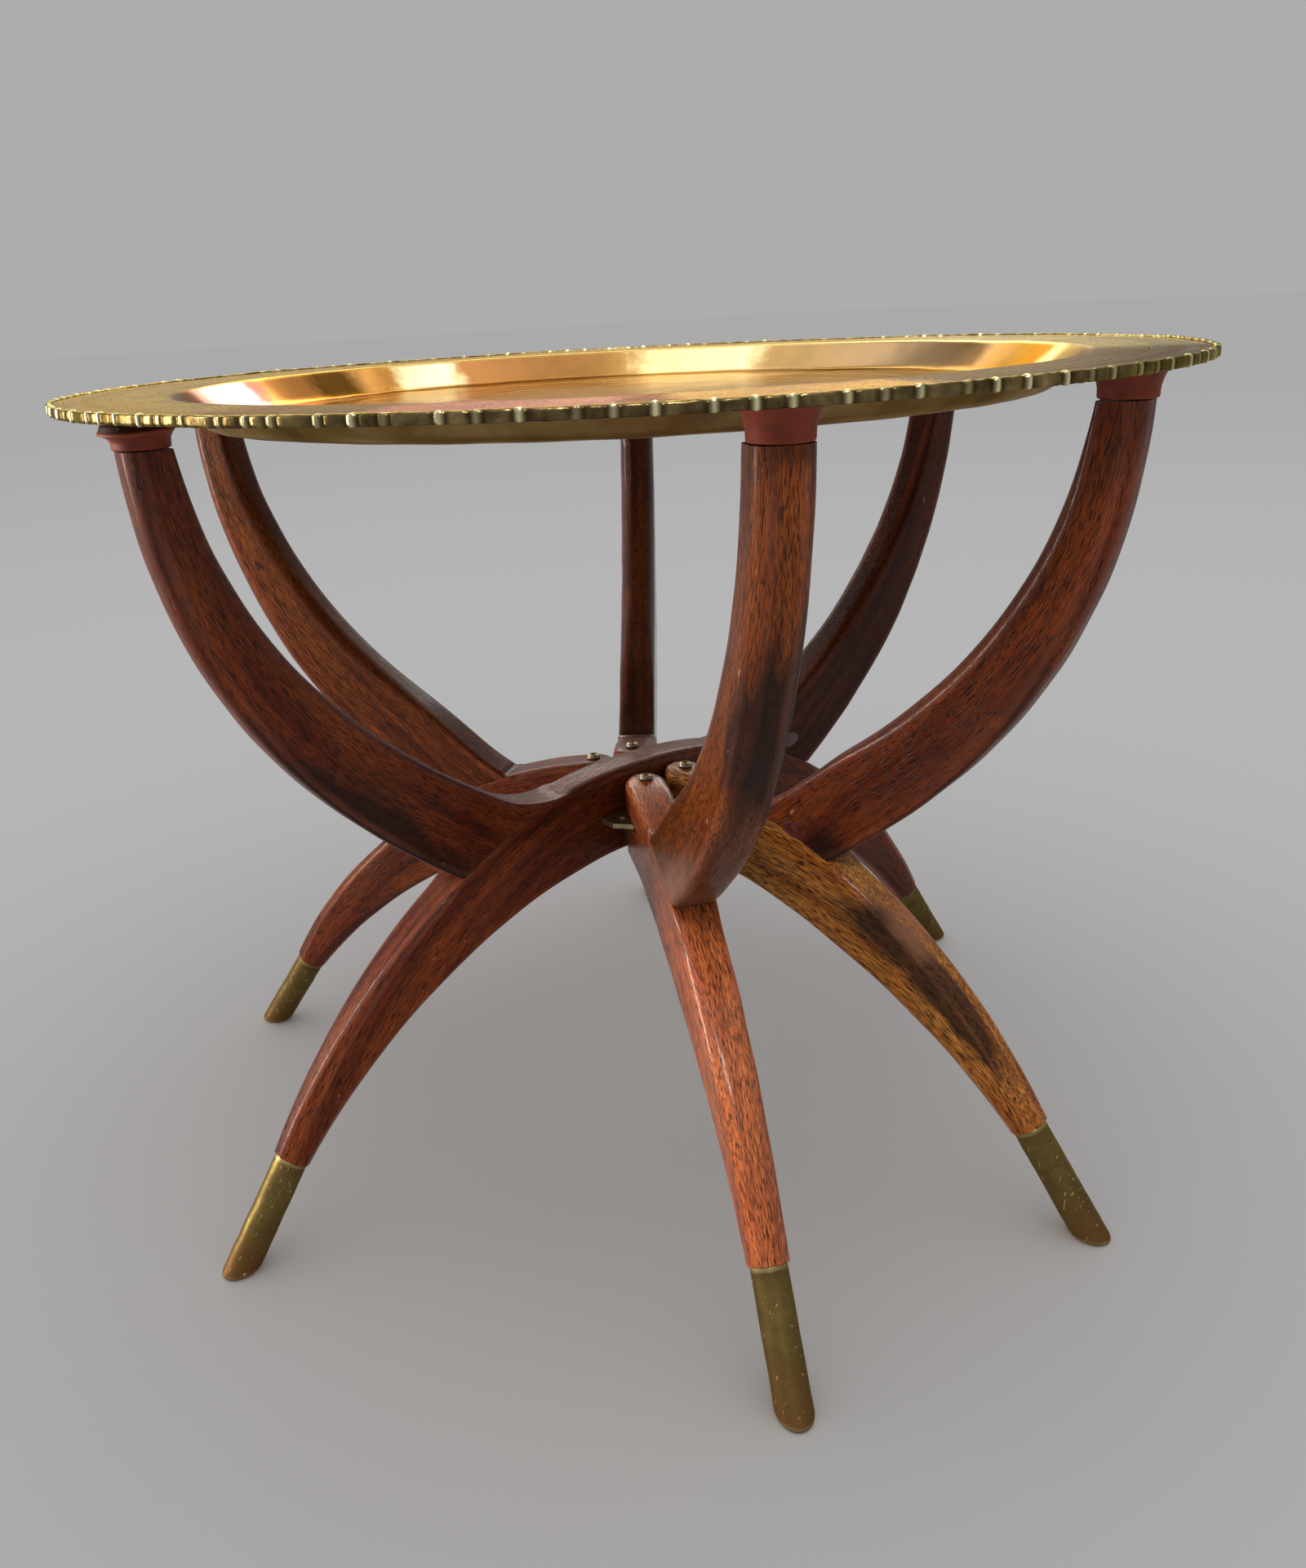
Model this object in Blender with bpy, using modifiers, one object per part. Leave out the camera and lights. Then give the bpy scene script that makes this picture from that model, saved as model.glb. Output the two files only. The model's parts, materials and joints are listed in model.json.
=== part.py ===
"""Folding six-legged table base with a loose round brass tray, metres, +Z up.

One long spine beam arches from foot to foot along X. Two more legs hang on each side of it, each on a
vertical screw through a brass hinge leaf, so the base folds flat along the spine once the tray is off.
Every leg carries a curved upper arm, a brass sabot on its foot and a rubber cap on its tip.
Profiles below are (r, z): r is the distance out from the table's centre along the leg, z the height.
"""

import math

import bmesh
import bpy
from mathutils import Matrix, Vector

# Driving dimensions
TIMBER = 0.025  # thickness of every wooden piece
GAP = 0.0003  # clearance between touching pieces
PIVOT_X = 0.0155  # hinge screws, along the spine
PIVOT_Y = 0.0260  # hinge screws, across the spine
PIVOT_R = math.hypot(PIVOT_X, PIVOT_Y)
TIP_R = 0.272  # arm tip, and its rubber cap
TIP_Z = 0.4405
ANKLE = Vector((0.2544, 0.0558))  # middle of a leg where its sabot starts
TRAY_R = 0.300
WELL_R = 0.244  # where the tray's flange turns down
FLOOR_R = 0.226
SHEET = 0.0012  # brass sheet of the tray
CAP_HEIGHT = 0.0165
FLANGE_Z = TIP_Z + CAP_HEIGHT + GAP + SHEET  # top face of the flange
WELL_DEPTH = 0.017

# Bezier centre lines of the three beams, from the hub outwards
SPINE_LINE = [Vector(p) for p in ((0.0, 0.203), (0.115, 0.207), (0.205, 0.128), ANKLE)]
LEG_LINE = [Vector(p) for p in ((0.017, 0.200), (0.112, 0.200), (0.206, 0.126), ANKLE)]
ARM_LINE = [Vector(p) for p in ((0.100, 0.197), (0.196, 0.258), (0.262, 0.328), (TIP_R, TIP_Z))]
ARM_ROOT = [Vector((0.073, 0.199)), Vector((0.111, 0.171))]  # buried in the leg, cut off by the joint

ANKLE_DEPTH = 0.020
SABOT_RADIUS = 0.0092
SABOT_WALL = 0.0007
TENON_RADIUS = 0.0077
TENON_LENGTH = 0.048
CAP_SLEEVE = 0.0129
CAP_RIM = 0.0165
DOWEL_RADIUS = 0.0100
DOWEL_HEIGHT = 0.0110

SLOT_Z = 0.200  # middle of the hinge leaf and of the saw cut that takes it
LEAF = 0.003
LEAF_LENGTH = 0.080
LEAF_REACH = 0.034  # outer edge of the leaf, from the spine's middle plane
SLOT_DEPTH = 0.0255  # saw cut, past the pivot
PIVOT_SCREW_TOP = 0.2243  # underside of the head
PIVOT_SCREW_END = 0.187
SCREW_SHANK = 0.002

PLUG_RADIUS = 0.005
PLUG_DEPTH = 0.006
ARM_SCREW_END = 0.034

# name, pivot signs along and across the spine, angle of the leg, side of the leg that has the plug
HINGED_LEGS = [
    ("front_left", -1, -1, 244.5, 1),
    ("front_right", 1, -1, 284.5, -1),
    ("rear_right", 1, 1, 49.0, 1),
    ("rear_left", -1, 1, 125.0, -1),
]
SPINE_ENDS = [("right", 0.0), ("left", 180.0)]

for leftover in list(bpy.data.objects):
    bpy.data.objects.remove(leftover)

parts = bpy.data.collections.new("brass_tray_table")
cutters = bpy.data.collections.new("cutters")
bpy.context.scene.collection.children.link(parts)
bpy.context.scene.collection.children.link(cutters)


def material(name, colour, roughness, metallic=0.0):
    made = bpy.data.materials.new(name)
    made.use_nodes = True
    shader = made.node_tree.nodes["Principled BSDF"]
    shader.inputs["Base Color"].default_value = (*colour, 1.0)
    shader.inputs["Roughness"].default_value = roughness
    shader.inputs["Metallic"].default_value = metallic
    return made


MAHOGANY = material("mahogany", (0.13, 0.035, 0.018), 0.38)
PLUG_WOOD = material("plug_wood", (0.08, 0.02, 0.012), 0.45)
POLISHED_BRASS = material("polished_brass", (0.80, 0.58, 0.25), 0.16, 1.0)
DULL_BRASS = material("dull_brass", (0.27, 0.22, 0.10), 0.45, 1.0)
RUBBER = material("red_rubber", (0.16, 0.04, 0.03), 0.55)
STEEL = material("screw_steel", (0.45, 0.42, 0.36), 0.35, 1.0)


def new_object(name, mesh, finish, smooth_angle=None):
    mesh.materials.append(finish)
    if smooth_angle:
        mesh.shade_smooth()
        mesh.set_sharp_from_angle(angle=math.radians(smooth_angle))
    made = bpy.data.objects.new(name, mesh)
    parts.objects.link(made)
    return made


def mesh_of(name, shape):
    bmesh.ops.recalc_face_normals(shape, faces=shape.faces)
    mesh = bpy.data.meshes.new(name)
    shape.to_mesh(mesh)
    shape.free()
    return mesh


def cutter(name, shape):
    made = bpy.data.objects.new(name, mesh_of(name, shape))
    cutters.objects.link(made)
    made.hide_render = True
    made.display_type = "WIRE"
    return made


def cut(target, tool, operation="DIFFERENCE"):
    modifier = target.modifiers.new(tool.name, "BOOLEAN")
    modifier.operation = operation
    modifier.solver = "EXACT"
    modifier.object = tool


def box_shape(low, high):
    shape = bmesh.new()
    low, high = Vector(low), Vector(high)
    size = Matrix.Diagonal((*(high - low), 1.0))
    bmesh.ops.create_cube(shape, size=1.0, matrix=Matrix.Translation((low + high) / 2) @ size)
    return shape


def rod_shape(start, end, radius, sides=16):
    """A cylinder between two points."""
    start, end = Vector(start), Vector(end)
    along = end - start
    place = Matrix.Translation((start + end) / 2) @ along.to_track_quat("Z", "Y").to_matrix().to_4x4()
    shape = bmesh.new()
    bmesh.ops.create_cone(
        shape, cap_ends=True, segments=sides, radius1=radius, radius2=radius, depth=along.length, matrix=place
    )
    return shape


def turned(name, profile, finish, steps, place=None):
    """A profile of (radius, height), top to bottom down its outer side, spun about Z."""
    mesh = bpy.data.meshes.new(name)
    points = [(radius, 0.0, height) for radius, height in profile]
    mesh.from_pydata(points, [(i, i + 1) for i in range(len(points) - 1)], [])
    made = new_object(name, mesh, finish)
    spin = made.modifiers.new("spin", "SCREW")
    spin.steps = spin.render_steps = steps
    spin.use_merge_vertices = True
    spin.merge_threshold = 0.00001
    spin.use_smooth_shade = True
    if place is not None:
        made.matrix_local = place
    return made


def bezier(line, t):
    a, b, c, d = line
    s = 1 - t
    return a * s**3 + b * 3 * s * s * t + c * 3 * s * t * t + d * t**3


def slope(line, t):
    a, b, c, d = line
    s = 1 - t
    return ((b - a) * s * s + (c - b) * 2 * s * t + (d - c) * t * t).normalized()


def spread(low, high, count):
    return [low + (high - low) * i / (count - 1) for i in range(count)]


def ramp(value, low, high):
    """0 below low, 1 above high, smooth between."""
    x = min(max((value - low) / (high - low), 0.0), 1.0)
    return x * x * (3 - 2 * x)


def ring(upper, lower, half, upper_bevel, lower_bevel):
    """Eight corners of one cross-section, between its upper and lower edge points (r, z)."""
    across = (upper - lower).normalized()
    corners = []
    for edge, inward, bevel in ((upper, -across, upper_bevel), (lower, across, lower_bevel)):
        near, far = edge, edge + inward * bevel
        pair = [(near, half - bevel), (far, half)]
        left = [Vector((p.x, y, p.y)) for p, y in pair]
        right = [Vector((p.x, -y, p.y)) for p, y in pair]
        corners.append((left, right))
    (ul, ur), (ll, lr) = corners
    return [ur[0], ul[0], ul[1], ll[1], ll[0], lr[0], lr[1], ur[1]]


def section(line, t, depth, half, upper_bevel, lower_bevel):
    middle, along = bezier(line, t), slope(line, t)
    up = Vector((-along.y, along.x))
    return ring(middle + up * depth / 2, middle - up * depth / 2, half, upper_bevel, lower_bevel)


def loft(rings):
    """Skins eight-cornered rings into one closed solid."""
    shape = bmesh.new()
    rows = [[shape.verts.new(point) for point in corners] for corners in rings]
    for row, following in zip(rows, rows[1:]):
        for i in range(len(row)):
            j = (i + 1) % len(row)
            shape.faces.new((row[i], row[j], following[j], following[i]))
    shape.faces.new(rows[0][::-1])
    shape.faces.new(rows[-1])
    return shape


def spine_depth(t):
    x = (t - 0.2) / 0.8
    return 0.052 - (0.052 - ANKLE_DEPTH) * (math.sqrt(x * x + 0.01) + x) / 2


def leg_depth(t):
    return 0.048 - 0.006 * t - 0.022 * t * t


def arm_depth(t):
    return 0.052 - 0.018 * t - 0.012 * t * t


def shin(line, depth, ts):
    """Rings of a leg, squared timber at the hub and nearly a regular octagon at the ankle."""
    rings = []
    for t in ts:
        taper = ramp(t, 0.38, 1.0)
        half = TIMBER / 2 + (ANKLE_DEPTH - TIMBER) / 2 * taper
        bevel = 0.0012 + 0.0046 * taper
        rings.append(section(line, t, depth(t), half, bevel, bevel))
    return rings


def tenon():
    """Rings of the round tenon that the sabot is driven onto."""
    along = slope(LEG_LINE, 1.0)
    up = Vector((-along.y, along.x)) * TENON_RADIUS
    bevel = TENON_RADIUS * (2 - math.sqrt(2))
    centres = [ANKLE, ANKLE + along * TENON_LENGTH]
    return [ring(c + up, c - up, TENON_RADIUS, bevel, bevel) for c in centres]


def mirrored(rings):
    """The same rings on the other side of the table, far end first."""
    return [[Vector((-p.x, p.y, p.z)) for p in corners] for corners in rings[::-1]]


def wide_cutter(name, line, depth, ts):
    """The leg itself with the joint gap added, and wider than the arm it cuts."""
    return cutter(name, loft([section(line, t, depth(t) + 2 * GAP, 0.02, 0.001, 0.001) for t in ts]))


def outward(angle):
    """Local frame of a leg: +X out from the table's centre."""
    return Matrix.Rotation(math.radians(angle), 4, "Z")


def shared_cutter(name, shape, place):
    tool = cutter(name, shape)
    tool.matrix_world = place
    return tool


def arm_screw_line(entry, side, distance):
    """A point along the slanted screw that draws an arm onto its leg, from the side face inwards."""
    return (entry.x - 0.8 * distance, side * (TIMBER / 2 - 0.6 * distance), entry.y)


def add_arm(name, frame, leg, leg_cutter, entry, side):
    """An upper arm with its slanted screw, plug and rubber cap. Frame is the leg's local frame."""
    rings = [ring(*ARM_ROOT, TIMBER / 2, 0.001, 0.001)]
    for t in spread(0.0, 1.0, 14):
        outer = 0.0015 + 0.0050 * (1 - ramp(t, 0.0, 0.35)) + 0.0035 * ramp(t, 0.1, 0.5) * (1 - ramp(t, 0.8, 1.0))
        inner = 0.0012 + 0.0020 * ramp(t, 0.1, 0.4) * (1 - ramp(t, 0.8, 1.0))
        rings.append(section(ARM_LINE, t, arm_depth(t), TIMBER / 2, inner, outer))
    arm = new_object("arm_" + name, mesh_of("arm", loft(rings)), MAHOGANY, 30)
    arm.matrix_world = frame
    dowel = shared_cutter(
        "dowel_" + name, rod_shape((TIP_R, 0, TIP_Z - 0.004), (TIP_R, 0, TIP_Z + DOWEL_HEIGHT), DOWEL_RADIUS), frame
    )
    bore = shared_cutter(
        "bore_" + name,
        rod_shape(
            arm_screw_line(entry, side, -0.012), arm_screw_line(entry, side, 0.010), PLUG_RADIUS + GAP
        ),
        frame,
    )
    pilot = shared_cutter(
        "pilot_" + name,
        rod_shape(
            arm_screw_line(entry, side, 0.005),
            arm_screw_line(entry, side, ARM_SCREW_END + GAP),
            SCREW_SHANK + GAP,
            sides=10,
        ),
        frame,
    )
    level = shared_cutter(
        "level_" + name, box_shape((0.23, -0.02, TIP_Z), (0.31, 0.02, TIP_Z + 0.02)), frame
    )
    cut(arm, level)
    cut(arm, dowel, "UNION")
    cut(arm, leg_cutter)
    for tool in (bore, pilot):
        cut(arm, tool)
        cut(leg, tool)

    plug_shape = rod_shape(
        arm_screw_line(entry, side, -0.010), arm_screw_line(entry, side, PLUG_DEPTH), PLUG_RADIUS
    )
    plug = new_object("arm_plug_" + name, mesh_of("plug", plug_shape), PLUG_WOOD, 30)
    plug.matrix_world = frame
    face = side * TIMBER / 2
    beyond = sorted((face, side * 0.05))
    flush = shared_cutter("flush_" + name, box_shape((0.05, beyond[0], 0.15), (0.2, beyond[1], 0.25)), frame)
    cut(plug, flush)

    head_start = PLUG_DEPTH + GAP
    screw = new_object(
        "arm_screw_" + name,
        mesh_of("screw", rod_shape(
            arm_screw_line(entry, side, head_start), arm_screw_line(entry, side, head_start + 0.003), 0.004
        )),
        STEEL, 30,
    )
    screw.matrix_world = frame
    shank = shared_cutter(
        "shank_" + name,
        rod_shape(
            arm_screw_line(entry, side, head_start + 0.002),
            arm_screw_line(entry, side, ARM_SCREW_END),
            SCREW_SHANK,
            sides=10,
        ),
        frame,
    )
    cut(screw, shank, "UNION")

    top = TIP_Z + CAP_HEIGHT
    cap_profile = [
        (0.0, top - 0.0030), (0.0090, top - 0.0022), (0.0143, top), (0.0151, top), (CAP_RIM, top - 0.0018),
        (0.0153, top - 0.0045), (CAP_SLEEVE + 0.0004, top - 0.0085), (CAP_SLEEVE, TIP_Z + 0.0015),
        (CAP_SLEEVE - 0.0012, TIP_Z + GAP), (DOWEL_RADIUS + GAP, TIP_Z + GAP),
        (DOWEL_RADIUS + GAP, TIP_Z + DOWEL_HEIGHT + GAP), (0.0, TIP_Z + DOWEL_HEIGHT + GAP),
    ]
    cap = turned("rubber_cap_" + name, cap_profile, RUBBER, 24, frame @ Matrix.Translation((TIP_R, 0, 0)))
    return [arm, plug, screw, cap]


def add_sabot(name, frame):
    """A brass ferrule, its closed end cut level with the floor."""
    along = slope(LEG_LINE, 1.0)
    start = ANKLE + along * GAP
    far = ANKLE + along * 0.09
    body = rod_shape((start.x, 0, start.y), (far.x, 0, far.y), SABOT_RADIUS, sides=24)
    sabot = new_object("sabot_" + name, mesh_of("sabot", body), DULL_BRASS, 30)
    sabot.matrix_world = frame
    floor = shared_cutter("floor_" + name, box_shape((0.2, -0.03, -0.05), (0.4, 0.03, 0.0)), frame)
    mouth = ANKLE - along * 0.005
    hollow = shared_cutter(
        "hollow_" + name,
        rod_shape((mouth.x, 0, mouth.y), (far.x, 0, far.y), SABOT_RADIUS - SABOT_WALL, sides=24),
        frame,
    )
    sole = cutter("sole_" + name, box_shape((0.2, -0.03, -0.05), (0.4, 0.03, 0.0015)))
    sole.matrix_world = frame
    cut(hollow, sole)
    cut(sabot, floor)
    cut(sabot, hollow)
    return [sabot]


def add_spine():
    ts = spread(0.0, 1.0, 15)
    half = shin(SPINE_LINE, spine_depth, ts) + tenon()
    spine = new_object("spine_beam", mesh_of("spine", loft(mirrored(half[1:]) + half)), MAHOGANY, 30)
    for name, angle in SPINE_ENDS:
        frame = outward(angle)
        leg_cutter = wide_cutter("spine_top_" + name, SPINE_LINE, spine_depth, spread(0.0, 0.62, 12))
        leg_cutter.matrix_world = frame
        add_arm(name, frame, spine, leg_cutter, Vector((0.118, 0.213)), -1)
        add_sabot(name, frame)
    return spine


def add_hinge_leg(name, along_sign, across_sign, angle, side):
    pivot = bpy.data.objects.new("pivot_" + name, None)
    pivot.empty_display_size = 0.05
    parts.objects.link(pivot)
    pivot.matrix_world = Matrix.Translation((PIVOT_X * along_sign, PIVOT_Y * across_sign, 0)) @ outward(angle)
    frame = pivot.matrix_world @ Matrix.Translation((-PIVOT_R, 0, 0))

    # The knuckle's end is a half round about the pivot, so its first rings follow a circle.
    centre_z, depth = LEG_LINE[0].y, leg_depth(0.0)
    knuckle = []
    for angle_in in spread(10.0, 90.0, 6):
        r = PIVOT_R - TIMBER / 2 * math.cos(math.radians(angle_in))
        half = TIMBER / 2 * math.sin(math.radians(angle_in))
        bevel = min(0.0012, half * 0.5)
        up = Vector((0, depth / 2))
        knuckle.append(ring(Vector((r, centre_z)) + up, Vector((r, centre_z)) - up, half, bevel, bevel))
    first = 0.08  # the centre line is still level here, just past the pivot
    rings = knuckle + shin(LEG_LINE, leg_depth, spread(first, 1.0, 14)) + tenon()
    leg = new_object("leg_" + name, mesh_of("leg", loft(rings)), MAHOGANY, 30)
    leg.matrix_world = frame

    slot = shared_cutter(
        "saw_cut_" + name,
        box_shape(
            (0.0, -0.03, SLOT_Z - LEAF / 2 - GAP), (PIVOT_R + SLOT_DEPTH, 0.03, SLOT_Z + LEAF / 2 + GAP)
        ),
        frame,
    )
    hole = shared_cutter(
        "pivot_hole_" + name,
        rod_shape((PIVOT_R, 0, PIVOT_SCREW_END - GAP), (PIVOT_R, 0, 0.25), SCREW_SHANK + GAP, sides=12),
        frame,
    )
    cut(leg, slot)
    cut(leg, hole)

    leg_cutter = wide_cutter("leg_top_" + name, LEG_LINE, leg_depth, spread(first, 0.62, 11))
    leg_cutter.matrix_world = frame
    pieces = [leg]
    pieces += add_arm(name, frame, leg, leg_cutter, Vector((0.114, 0.205)), side)
    pieces += add_sabot(name, frame)
    pieces.append(add_pivot_screw(name, frame))
    bpy.context.view_layer.update()
    for piece in pieces:
        place = piece.matrix_world.copy()
        piece.parent = pivot
        piece.matrix_world = place


def add_pivot_screw(name, frame):
    """A round-head screw with a cross recess, its shank plain through the hinge leaf."""
    top, end = PIVOT_SCREW_TOP, PIVOT_SCREW_END
    dome = [(0.004 * math.sin(a), top + 0.0004 + 0.0020 * math.cos(a)) for a in spread(0, math.pi / 2, 4)]
    profile = dome + [(0.004, top), (SCREW_SHANK, top), (SCREW_SHANK, end + 0.003), (0.0, end)]
    screw = turned("pivot_screw_" + name, profile, STEEL, 16, frame @ Matrix.Translation((PIVOT_R, 0, 0)))
    for direction, (x, y) in (("long", (0.0024, 0.0004)), ("cross", (0.0004, 0.0024))):
        recess = shared_cutter(
            f"recess_{direction}_{name}",
            box_shape((-x, -y, top + 0.0012), (x, y, top + 0.004)),
            frame @ Matrix.Translation((PIVOT_R, 0, 0)) @ Matrix.Rotation(0.5, 4, "Z"),
        )
        cut(screw, recess)
    return screw


def add_bracket(name, facing, spine):
    """A brass angle let into one side of the spine. Its level leaf enters the legs' saw cuts."""
    frame = Matrix.Identity(4) if facing < 0 else outward(180.0)
    face = -TIMBER / 2
    half, tail = LEAF_LENGTH / 2, 0.022
    bottom = SLOT_Z - 0.018
    outline = [
        (-tail, face + LEAF - GAP), (-tail, face - GAP), (-half, face - GAP), (-half, -LEAF_REACH + 0.010),
        (-half + 0.008, -LEAF_REACH), (half - 0.008, -LEAF_REACH), (half, -LEAF_REACH + 0.010),
        (half, face - GAP), (tail, face - GAP), (tail, face + LEAF - GAP),
    ]
    shape = bmesh.new()
    base = shape.faces.new([shape.verts.new((x, y, SLOT_Z - LEAF / 2)) for x, y in outline])
    raised = bmesh.ops.extrude_face_region(shape, geom=[base])["geom"]
    lifted = [item for item in raised if isinstance(item, bmesh.types.BMVert)]
    bmesh.ops.translate(shape, verts=lifted, vec=(0, 0, LEAF))
    bracket = new_object("hinge_bracket_" + name, mesh_of("bracket", shape), DULL_BRASS)
    bracket.matrix_world = frame
    flange = shared_cutter(
        "flange_" + name, box_shape((-tail, face, bottom), (tail, face + LEAF - GAP, SLOT_Z)), frame
    )
    cut(bracket, flange, "UNION")
    for x in (-PIVOT_X, PIVOT_X):
        tool = rod_shape((x, -PIVOT_Y, SLOT_Z - 0.01), (x, -PIVOT_Y, SLOT_Z + 0.01), 0.0025, sides=12)
        cut(bracket, shared_cutter(f"leaf_hole_{name}_{x:+.3f}", tool, frame))
    for x in (-0.031, 0.031):
        tool = rod_shape((x, -0.021, SLOT_Z - 0.01), (x, -0.021, SLOT_Z + 0.01), 0.0026, sides=12)
        cut(bracket, shared_cutter(f"spare_hole_{name}_{x:+.3f}", tool, frame))
    pocket = shared_cutter(
        "pocket_" + name,
        box_shape((-tail - GAP, face - 0.01, bottom - GAP), (tail + GAP, face + LEAF, SLOT_Z + LEAF / 2 + GAP)),
        frame,
    )
    cut(spine, pocket)
    for label, x in (("left", -0.010), ("right", 0.010)):
        add_bracket_screw(name, label, x, face, frame, bracket, spine)


def add_bracket_screw(name, label, x, face, frame, bracket, spine):
    """A small screw sunk flush in the bracket's flange."""
    z, head, tip = SLOT_Z - 0.010, face + 0.0012, face + 0.0105
    tag = f"{name}_{label}"
    screw = new_object(
        "bracket_screw_" + tag, mesh_of("screw", rod_shape((x, face, z), (x, head, z), 0.0027)), STEEL, 30
    )
    screw.matrix_world = frame
    shank = shared_cutter(
        "thin_shank_" + tag, rod_shape((x, face + 0.0006, z), (x, tip, z), 0.0013, sides=10), frame
    )
    cut(screw, shank, "UNION")
    sink = shared_cutter(
        "sink_" + tag, rod_shape((x, face - 0.01, z), (x, head + GAP, z), 0.0027 + GAP), frame
    )
    drill = shared_cutter(
        "drill_" + tag, rod_shape((x, face - 0.01, z), (x, tip + GAP, z), 0.0013 + GAP, sides=10), frame
    )
    cut(bracket, sink)
    cut(bracket, drill)
    cut(spine, drill)


def add_tray():
    """A spun brass sheet: flat floor, sloping wall, level flange and a thick turned-down edge band."""
    top, floor = FLANGE_Z, FLANGE_Z - WELL_DEPTH
    lean = math.atan2(WELL_DEPTH, WELL_R - FLOOR_R) / 2
    shift = SHEET * math.tan(lean)  # the sheet's outer face, where it bends
    band = 0.0045
    upper = [
        (0.0, floor), (FLOOR_R - 0.003, floor), (FLOOR_R, floor + 0.0010), (WELL_R - 0.001, top - 0.0012),
        (WELL_R + 0.002, top), (TRAY_R - 0.0036, top), (TRAY_R - 0.0024, top + 0.0008), (TRAY_R - 0.0008, top + 0.0008),
    ]
    lower = [
        (TRAY_R, top), (TRAY_R, top + 0.0016 - band), (TRAY_R - 0.0008, top + 0.0008 - band),
        (TRAY_R - 0.0024, top + 0.0008 - band), (TRAY_R - 0.0032, top - SHEET), (WELL_R + shift, top - SHEET),
        (FLOOR_R + shift, floor - SHEET), (0.0, floor - SHEET),
    ]
    return turned("tray", upper + lower, POLISHED_BRASS, 96)


spine_beam = add_spine()
for leg_values in HINGED_LEGS:
    add_hinge_leg(*leg_values)
add_bracket("front", -1, spine_beam)
add_bracket("rear", 1, spine_beam)
add_tray()
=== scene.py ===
import json
import math
from functools import partial

import bmesh
import bpy
import numpy as np
from mathutils import Matrix, Vector


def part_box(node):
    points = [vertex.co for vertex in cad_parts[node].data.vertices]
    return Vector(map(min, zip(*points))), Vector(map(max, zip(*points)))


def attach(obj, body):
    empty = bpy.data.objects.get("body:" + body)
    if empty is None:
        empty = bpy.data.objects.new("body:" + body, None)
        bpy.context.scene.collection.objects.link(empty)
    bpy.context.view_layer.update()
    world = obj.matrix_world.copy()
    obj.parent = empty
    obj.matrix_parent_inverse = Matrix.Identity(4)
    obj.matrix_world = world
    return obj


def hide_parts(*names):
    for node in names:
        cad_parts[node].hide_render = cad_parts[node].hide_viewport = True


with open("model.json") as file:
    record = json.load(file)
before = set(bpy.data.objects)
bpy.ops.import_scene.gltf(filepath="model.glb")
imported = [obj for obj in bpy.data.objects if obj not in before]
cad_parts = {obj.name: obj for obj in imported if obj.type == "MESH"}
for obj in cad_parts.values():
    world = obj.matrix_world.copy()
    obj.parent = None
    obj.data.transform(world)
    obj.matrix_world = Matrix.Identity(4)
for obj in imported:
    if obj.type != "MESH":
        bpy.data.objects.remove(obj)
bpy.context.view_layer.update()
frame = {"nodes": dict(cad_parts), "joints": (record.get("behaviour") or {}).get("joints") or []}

scene = bpy.context.scene
print("frame loaded:", len(frame["nodes"]), "nodes")

# Shapes, in metres. A leg's own frame has r running out along the leg, y across it and z up.
timber = {
    "thickness": 0.025,
    "spineLine": ((0.0, 0.203), (0.115, 0.207), (0.205, 0.128), (0.2544, 0.0558)),
    "legLine": ((0.017, 0.200), (0.112, 0.200), (0.206, 0.126), (0.2544, 0.0558)),
    "armLine": ((0.100, 0.197), (0.196, 0.258), (0.262, 0.328), (0.272, 0.4405)),
    "armRoot": ((0.073, 0.199), (0.111, 0.171)),  # upper and lower edge, buried in the leg
    "ankleDepth": 0.020,
    "tenonRadius": 0.0077,
    "tenonLength": 0.048,
    "tipOut": 0.272,
    "tipHeight": 0.4405,
    "stubEnd": 0.08,  # share of a hinged leg's line that is its rounded stub
    "hingedNotch": (0.0025, 0.006),  # fillet over the arm's notch, and how much slimmer the arm's root is
    "spineNotch": (0.024, 0.0),
    "handWaver": 0.00012,  # unevenness left by spokeshave and sanding
}
hinge = {
    "pivotX": 0.0155,
    "pivotY": 0.0260,
    "screwTop": 0.2243,
    "slotHeight": 0.200,
    "slotGap": 0.0018,
    "slotReach": 0.0255,
    "pocketHalf": 0.0223,
    "pocketReach": 0.0095,  # from the spine's middle to the pocket's floor
    "pocketFace": 0.03,
    "pocketGap": 0.0003,
}
pivotOut = math.hypot(hinge["pivotX"], hinge["pivotY"])

hingedLegs = ["front_left", "front_right", "rear_right", "rear_left"]
spineEnds = ["right", "left"]
allLegs = hingedLegs + spineEnds
bodyOf = {name: "swing_leg_" + name for name in hingedLegs}
bodyOf.update({name: "base" for name in spineEnds})


def smooth(value, low, high):
    x = np.clip((value - low) / (high - low), 0.0, 1.0)
    return x * x * (3 - 2 * x)


def bump(value, centre, width):
    return np.exp(-(((value - centre) / width) ** 2))


def unit(vectors):
    return vectors / np.maximum(np.linalg.norm(vectors, axis=-1, keepdims=True), 1e-12)


def onCurve(line, t):
    # cubic Bezier point and its unit direction, for every t at once
    a, b, c, d = (np.array(p) for p in line)
    t = np.asarray(t, float)[..., None]
    s = 1 - t
    point = a * s**3 + 3 * b * s * s * t + 3 * c * s * t * t + d * t**3
    return point, unit((b - a) * s * s + 2 * (c - b) * s * t + (d - c) * t * t)


def waver(points, wavelength, seed, waves=7):
    # sum of sine waves in random directions: a smooth random field between about -1 and 1
    rng = np.random.default_rng(seed)
    total = np.zeros(points.shape[:-1])
    for _ in range(waves):
        direction = unit(rng.normal(size=3)) * 2 * math.pi / (wavelength * rng.uniform(0.7, 1.6))
        total += np.sin(points @ direction + rng.uniform(0, 2 * math.pi))
    return total / math.sqrt(waves)


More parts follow.
